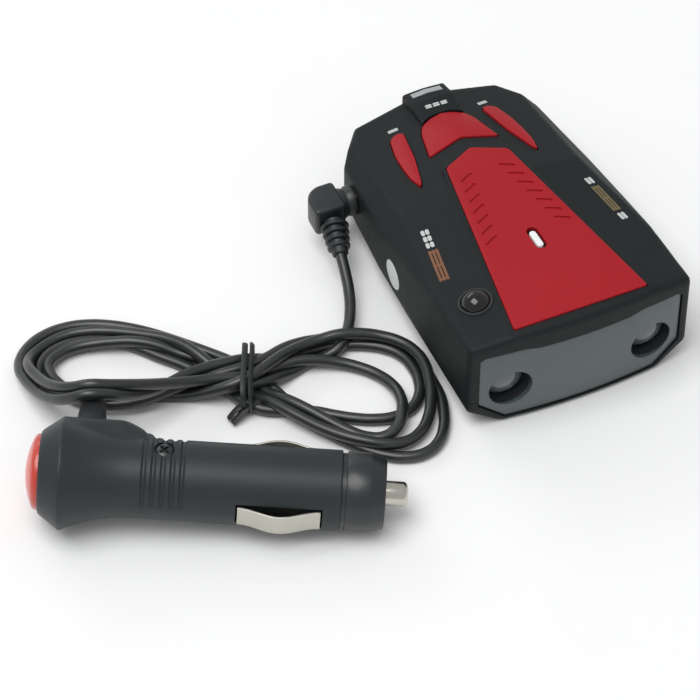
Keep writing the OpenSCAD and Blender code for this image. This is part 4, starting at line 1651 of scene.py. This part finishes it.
# Printed marks: plane, start and stop of the bar's middle line, width, kind of ink
MARKS = [
    (DOME_PLANE, (-24.4, -1.8), (-25.5, -9.2), 2.5, "white"),
    (DOME_PLANE, (-25.6, -10), (-27.4, -22), 2.9, "amber"),
    (SHOULDER, (25, -1.9), (25.4, -5.2), 2.3, "white"),
    (SHOULDER, (25.5, -6), (26.7, -17.4), 2.6, "olive"),
    (SHOULDER, (26.8, -18.2), (27.2, -21.6), 2.3, "white"),
    (mirrored_plane(FAR_SLOPE), (-15.7, 41.2), (-12.1, 41), 1.3, "white"),
    (POD_TOP, (-3.4, 42.6), (3.6, 42.4), 1.3, "white"),
    (FAR_SLOPE, (12, 40.6), (15.7, 41.4), 1.3, "white"),
]
INKS = {"white": (0.5, 0.53, 0.53), "amber": (0.19, 0.075, 0.028), "olive": (0.14, 0.11, 0.045)}


INK_LAYER = 0.045


def printed_bar(plane, start, stop, width, kind):
    """Thin printed marks along a line: white ones are rows of pairs, coloured ones a ladder"""
    start = Vector(start)
    stop = Vector(stop)
    middle = (start + stop) / 2
    along = stop - start
    length = along.length
    turn = math.atan2(-along.x, along.y)
    pieces = []
    if kind == "white":
        rows = 3 if length > 5 else 1
        pitch = length / rows
        for i in range(rows):
            y = -length / 2 + pitch * (i + 0.5)
            for x in (-width / 4, width / 4):
                outline = slot_outline((x, y), pitch * 0.84, width * 0.42)
                pieces.append(prism(outline, 0, INK_LAYER))
    else:
        line = width * 0.24
        for x in (-0.36 * width, 0, 0.36 * width):
            pieces.append(prism(slot_outline((x, 0), length, line), 0, INK_LAYER))
        for y in (-0.44 * length, 0, 0.44 * length):
            rung = prism(slot_outline((0, 0), width, line), 0, INK_LAYER + 0.005)
            pieces.append(placed(rung, Matrix.Translation((0, y, 0)) @ LENGTHWAYS))
    bar = joined(*pieces)
    return placed(bar, surface_frame(plane, middle.x, middle.y, turn))


class DETECTOR_OT_marks(bpy.types.Operator):
    """Print the plain bars beside the panel and behind the buttons"""

    bl_idname = "detector.marks"
    bl_label = "Printed marks"

    def execute(self, context):
        for kind, colour in INKS.items():
            bars = [printed_bar(*mark) for mark in MARKS if mark[-1] == kind]
            ink = finish_print(f"{kind}_ink", colour)
            finished(joined(*bars), f"{kind}_marks", ink, "detector", ())
        return {"FINISHED"}


# ---- low-voltage plug ----------------------------------------------------


class DETECTOR_OT_small_plug(bpy.types.Operator):
    """Make the right-angle plug's body with its collar"""

    bl_idname = "detector.small_plug"
    bl_label = "Low-voltage plug"

    def execute(self, context):
        x = PLUG_FACE_X - 8
        y, z = SOCKET
        round_end = arc((x, y), 5.2, 90, 180, 12)
        outline = [(x + 4, y - 5.1), (x + 4, y + 5.2)] + round_end + [(x - 5.2, y - 5)]
        block = prism(outline, z - 4.6, z + 4.6)
        soften(block, sharp_edges(block, math.radians(50)), 1.1, 4)
        collar = turned([
            (x + 3.2, 0), (x + 3.2, 4.3), (x + 4.6, 4.4), (x + 5.2, 4.05), (x + 5.8, 4.05),
            (x + 6.4, 4.4), (PLUG_FACE_X - 0.3, 4.4), (PLUG_FACE_X, 4.1), (PLUG_FACE_X, 0)
        ], 48)
        placed(collar, Matrix.Translation((0, y, z)))
        black = finish_moulding("small_plug_moulding", 0.4)
        finished(joined(block, collar), "right_angle_plug", black, "lead", ("dc_plug_body",), sharp=40)
        return {"FINISHED"}


# ---- lighter plug --------------------------------------------------------

BORE_R = 8.6
POCKET_R = 10.2
POCKET_END = 5.8
# Angles from the cord's side between which the hump falls away
HUMP_SIDE = (math.radians(34), math.radians(60))
# Grip grooves: they end short of the seam by the margin
GROOVE_PITCH = 2.5
GROOVE_DEPTH = 0.45
GROOVE_HALF = 0.5
GROOVES_END = 40
GROOVE_MARGIN = 1.5


def smooth_step(low, high, value):
    part = min(1.0, max(0.0, (value - low) / (high - low)))
    return part * part * (3 - 2 * part)


def housing_profile(grooved):
    """Closed section of the housing's wall, outer side first"""
    outer = [(FACE_X, POCKET_R + 0.5), (FACE_X + 0.3, POCKET_R + 0.9)]
    outer += [(x, flare(x)) for x in (2, 3.5, 5, 6.1)]
    outer += [(RIM_X - 0.1, RIM_R - 0.16), (RIM_X + 0.25, RIM_R - 0.2)]
    outer += [(RIM_X + 0.9 * i, flare(RIM_X + 0.9 * i)) for i in range(1, 20)]
    outer += [(x, BARREL_R) for x in (25, 26.2)]
    for i in range(-2, 3):
        middle = SCREW_AT[0] + GROOVE_PITCH * i
        floor = BARREL_R - (GROOVE_DEPTH if grooved else 0)
        outer += [(middle - GROOVE_HALF - 0.3, BARREL_R), (middle - 0.25, floor)]
        outer += [(middle + 0.25, floor), (middle + GROOVE_HALF + 0.3, BARREL_R)]
    outer += [(x, BARREL_R) for x in (40, 46, 52, 58, 64, 70, 75, CAP_X - 0.3)]
    inner = [
        (CAP_X, BARREL_R - 0.25), (CAP_X, BORE_R), (POCKET_END, BORE_R), (POCKET_END, POCKET_R),
        (FACE_X, POCKET_R)
    ]
    return outer + inner


def hump_radius(x, angle, radius):
    """Radius of the housing where the hump on its cord side swells it"""
    level = min(RIM_R - 0.1, HUMP_H / max(0.2, math.cos(angle)))
    side = 1 - smooth_step(*HUMP_SIDE, angle)
    end = 1 - smooth_step(HUMP_FLAT - 1, HUMP_END, x)
    if level <= radius:
        return radius
    return radius + (level - radius) * side * end


def shape_housing(vert):
    """End the grooves short of the seam, and swell the hump on the cord's side"""
    radius = math.hypot(vert.co.y, vert.co.z)
    if radius < BARREL_R - GROOVE_DEPTH - 0.05 or vert.co.x < RIM_X - 0.05:
        return
    new_radius = radius
    grooved = vert.co.x < GROOVES_END and radius < BARREL_R - 0.1
    if grooved and abs(vert.co.z) < GROOVE_MARGIN:
        new_radius = BARREL_R
    if vert.co.y > 0:
        angle = math.atan2(abs(vert.co.z), vert.co.y)
        new_radius = hump_radius(vert.co.x, angle, new_radius)
    vert.co.yz *= new_radius / radius


def housing_half(side):
    """Upper (1) or lower (-1) half of the lighter plug's housing"""
    bm = bmesh.new()
    profile = housing_profile(side > 0)
    points = [bm.verts.new((x, radius, 0)) for x, radius in profile]
    loop = [bm.edges.new((a, b)) for a, b in zip(points, points[1:] + points[:1])]
    bmesh.ops.spin(
        bm, geom=points + loop, cent=(0, 0, 0), axis=(1, 0, 0), angle=side * math.pi, steps=60
    )
    bmesh.ops.remove_doubles(bm, verts=bm.verts, dist=1e-4)
    ends = [edge for edge in bm.edges if edge.is_boundary]
    bmesh.ops.edgeloop_fill(bm, edges=ends)
    for vert in bm.verts:
        shape_housing(vert)
    bmesh.ops.recalc_face_normals(bm, faces=bm.faces)
    half = CONTACT_W / 2 + 0.4
    for low in (-15, 5):
        slot = box((CONTACT_X - 0.5, low, -half), (CONTACT_X + CONTACT_L + 0.5, low + 10, half))
        bm = combined(bm, slot)
    if side > 0:
        well = cylinder(8.9, 16, 2.7, Matrix.Translation((*SCREW_AT, 0)) @ UPRIGHT, 32)
        bm = combined(bm, well)
    return bm


def contact_mesh(side):
    """A spring strip with one smooth bow, on one side of the barrel"""
    bow = []
    for i in range(CONTACT_STEPS + 1):
        part = i / CONTACT_STEPS
        bow.append((CONTACT_L * part, CONTACT_RISE * math.sin(math.pi * part) ** 2))
    under = [(x, y - CONTACT_SHEET) for x, y in reversed(bow)]
    bm = prism(under + bow, -CONTACT_W / 2, CONTACT_W / 2)
    soften(bm, sharp_edges(bm, math.radians(60)), 0.12, 2)
    bmesh.ops.translate(bm, verts=bm.verts, vec=(CONTACT_X, BARREL_R + 0.3, 0))
    if side < 0:
        bmesh.ops.scale(bm, verts=bm.verts, vec=(1, -1, 1))
    bmesh.ops.recalc_face_normals(bm, faces=bm.faces)
    return bm


class DETECTOR_OT_housing(bpy.types.Operator):
    """Make the lighter plug's two housing halves and their screw"""

    bl_idname = "detector.housing"
    bl_label = "Lighter plug's housing"

    def execute(self, context):
        plastic = finish_housing()
        for name, side in (("upper", 1), ("lower", -1)):
            half = placed(housing_half(side), PLUG_FRAME)
            nodes = (f"plug_{name}_half",)
            finished(half, f"{name}_housing", plastic, "lead", nodes, 36)
        screw = screw_mesh(head_r=2.4, head_h=1.3, shank_r=1.1, shank_l=13.4)
        placed(screw, Matrix.Rotation(math.pi / 4, 4, "Z"))
        placed(screw, PLUG_FRAME @ Matrix.Translation((*SCREW_AT, 8.6)))
        black = finish_moulding("blackened_screw", 0.35, 0.2)
        finished(screw, "housing_screw", black, "lead", ("plug_screw",))
        return {"FINISHED"}


# Tip spring: where its ends sit along the plug, its coil and its wire
SPRING_FROM = CAP_END - 50.6
SPRING_TO = CAP_END - 38.6
SPRING_R = 2.6
SPRING_TURNS = 6
SPRING_STEPS = 20
WIRE_R = 0.3


def spring_mesh():
    """A round-wire helix between the housing and the fuse"""
    low = SPRING_FROM + WIRE_R
    high = SPRING_TO - WIRE_R
    count = SPRING_STEPS * SPRING_TURNS
    points = []
    for i in range(count + 1):
        angle = math.tau * SPRING_TURNS * i / count
        x = low + (high - low) * i / count
        spot = Vector((x, SPRING_R * math.cos(angle), SPRING_R * math.sin(angle)))
        points.append(PLUG_FRAME @ spot)
    return swept(points, WIRE_R, WIRE_R)


class DETECTOR_OT_spring(bpy.types.Operator):
    """Make the tip spring"""

    bl_idname = "detector.spring"
    bl_label = "Tip spring"

    def execute(self, context):
        steel = finish_steel()
        coil = finished(spring_mesh(), "tip_coil_spring", steel, "lead", ("tip_spring",))
        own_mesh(coil)
        return {"FINISHED"}


# Radius of the switch cap's domed face
SWITCH_DOME_R = 21.6


class DETECTOR_OT_contacts(bpy.types.Operator):
    """Make the switch cap, the nose cap, the centre tip and the side contacts"""

    bl_idname = "detector.contacts"
    bl_label = "Switch, nose cap, tip and contacts"

    def execute(self, context):
        radii = (9.3, 8.4, 7.2, 6, 4.8, 3.6, 2.4, 1.2)
        dome = [(SWITCH_DOME_R - 3 - math.sqrt(SWITCH_DOME_R ** 2 - r * r), r) for r in radii]
        cap = turned([(4, 0), (4, 10), (0.1, 10), (-0.35, 9.85)] + dome + [(-3, 0)], 72)
        placed(cap, PLUG_FRAME)
        red = finish_switch()
        finished(cap, "switch_cap", red, "switch_button", ("switch_button",), 50)
        neck = BORE_R - 0.2
        nose = turned([
            (CAP_X - 4, 5), (CAP_X - 4, neck), (CAP_X + 0.1, neck), (CAP_X + 0.1, NOSE_R - 0.5),
            (CAP_X + 1.2, NOSE_R - 0.5), (CAP_X + 1.3, NOSE_R - 0.12), (CAP_X + 1.5, NOSE_R),
            (CAP_X + 7.3, NOSE_R), (CAP_X + 7.7, NOSE_R - 0.1), (CAP_X + 8.2, NOSE_R - 0.35),
            (CAP_END - 0.4, NOSE_R - 0.95), (CAP_END, NOSE_R - 1.3), (CAP_END, TIP_R + 0.3),
            (CAP_END - 0.3, TIP_R + 0.1), (CAP_END - 2, TIP_R + 0.1), (CAP_END - 2, 5)
        ], 80, closed=True)
        placed(nose, PLUG_FRAME)
        glossy = finish_moulding("nose_cap_moulding", 0.36, 0.06)
        finished(nose, "screw_on_nose", glossy, "nose_cap", ("nose_cap",), sharp=34)
        tip = turned([
            (CAP_END - 8.6, 0), (CAP_END - 8.6, 4.4), (CAP_END - 8.4, 4.6), (CAP_END - 2.4, 4.6),
            (CAP_END - 2.2, 4.4), (CAP_END - 2.2, TIP_R), (PLUG_L - 1.3, TIP_R),
            (PLUG_L - 0.7, TIP_R - 0.2), (PLUG_L - 0.2, TIP_R - 0.75), (PLUG_L, TIP_R - 1.5), (PLUG_L, 0)
        ], 56)
        placed(tip, PLUG_FRAME)
        bright = finish_nickel("tip_nickel", 0.16)
        finished(tip, "centre_contact", bright, "centre_tip", ("centre_tip",))
        spring = finish_nickel("contact_nickel", 0.42)
        for name, side in (("near", -1), ("far", 1)):
            strip = placed(contact_mesh(side), PLUG_FRAME)
            node = f"side_contact_{name}"
            finished(strip, f"{name}_contact_strip", spring, node, (node,))
        return {"FINISHED"}


# ---- pieces carried over from the frame ----------------------------------


class DETECTOR_OT_inner(bpy.types.Operator):
    """Give the pieces inside, and the small plug's metal, their finishes"""

    bl_idname = "detector.inner"
    bl_label = "Finishes of the inner pieces"

    def execute(self, context):
        board = finish_board()
        cast = finish_cast()
        nickel = finish_nickel("plated_brass", 0.22)
        steel = finish_steel()
        dark = finish_moulding("inner_moulding", 0.45)
        finishes = {
            "laser_sensors": finish_gloss_black(), "display_module": dark, "main_board": board,
            "horn_antenna": cast, "antenna_board": board, "speaker": finish_paper_cone(),
            "dc_jack": dark, "button_switches": dark, "board_screws": steel,
            "dc_plug_barrel": nickel, "dc_plug_insulator": dark, "switch_module": dark,
            "plug_board": board, "fuse": finish_clear("fuse_glass", (0.6, 0.66, 0.66), 0.08),
        }
        for name, material in finishes.items():
            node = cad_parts[name]
            for slot in node.material_slots:
                slot.material = material
        return {"FINISHED"}


class DETECTOR_PT_sidebar(bpy.types.Panel):
    """Sizes, finishes and the steps that make the object"""

    bl_idname = "DETECTOR_PT_sidebar"
    bl_label = "Radar detector"
    bl_space_type = "VIEW_3D"
    bl_region_type = "UI"
    bl_category = "Detector"

    def draw(self, context):
        for name, group in GROUPS.items():
            column = self.layout.box().column()
            for item in group.__annotations__:
                column.prop(getattr(context.scene, name), item)
        for operator in OPERATORS:
            self.layout.operator(operator.bl_idname)


# The stage and the cord come first
OPERATORS = [
    DETECTOR_OT_stage, DETECTOR_OT_cord, DETECTOR_OT_shells, DETECTOR_OT_screws,
    DETECTOR_OT_window, DETECTOR_OT_panel, DETECTOR_OT_sensor, DETECTOR_OT_buttons,
    DETECTOR_OT_marks, DETECTOR_OT_small_plug, DETECTOR_OT_housing, DETECTOR_OT_spring,
    DETECTOR_OT_contacts, DETECTOR_OT_inner,
]


def register():
    for name, group in GROUPS.items():
        bpy.utils.register_class(group)
        setattr(bpy.types.Scene, name, PointerProperty(type=group))
    for item in OPERATORS + [DETECTOR_PT_sidebar]:
        bpy.utils.register_class(item)


def unregister():
    for item in reversed(OPERATORS + [DETECTOR_PT_sidebar]):
        bpy.utils.unregister_class(item)
    for name, group in GROUPS.items():
        delattr(bpy.types.Scene, name)
        bpy.utils.unregister_class(group)


def main():
    register()
    for operator in OPERATORS:
        step = operator.bl_idname.split(".")[1]
        getattr(bpy.ops.detector, step)()


if __name__ == "__main__":
    main()
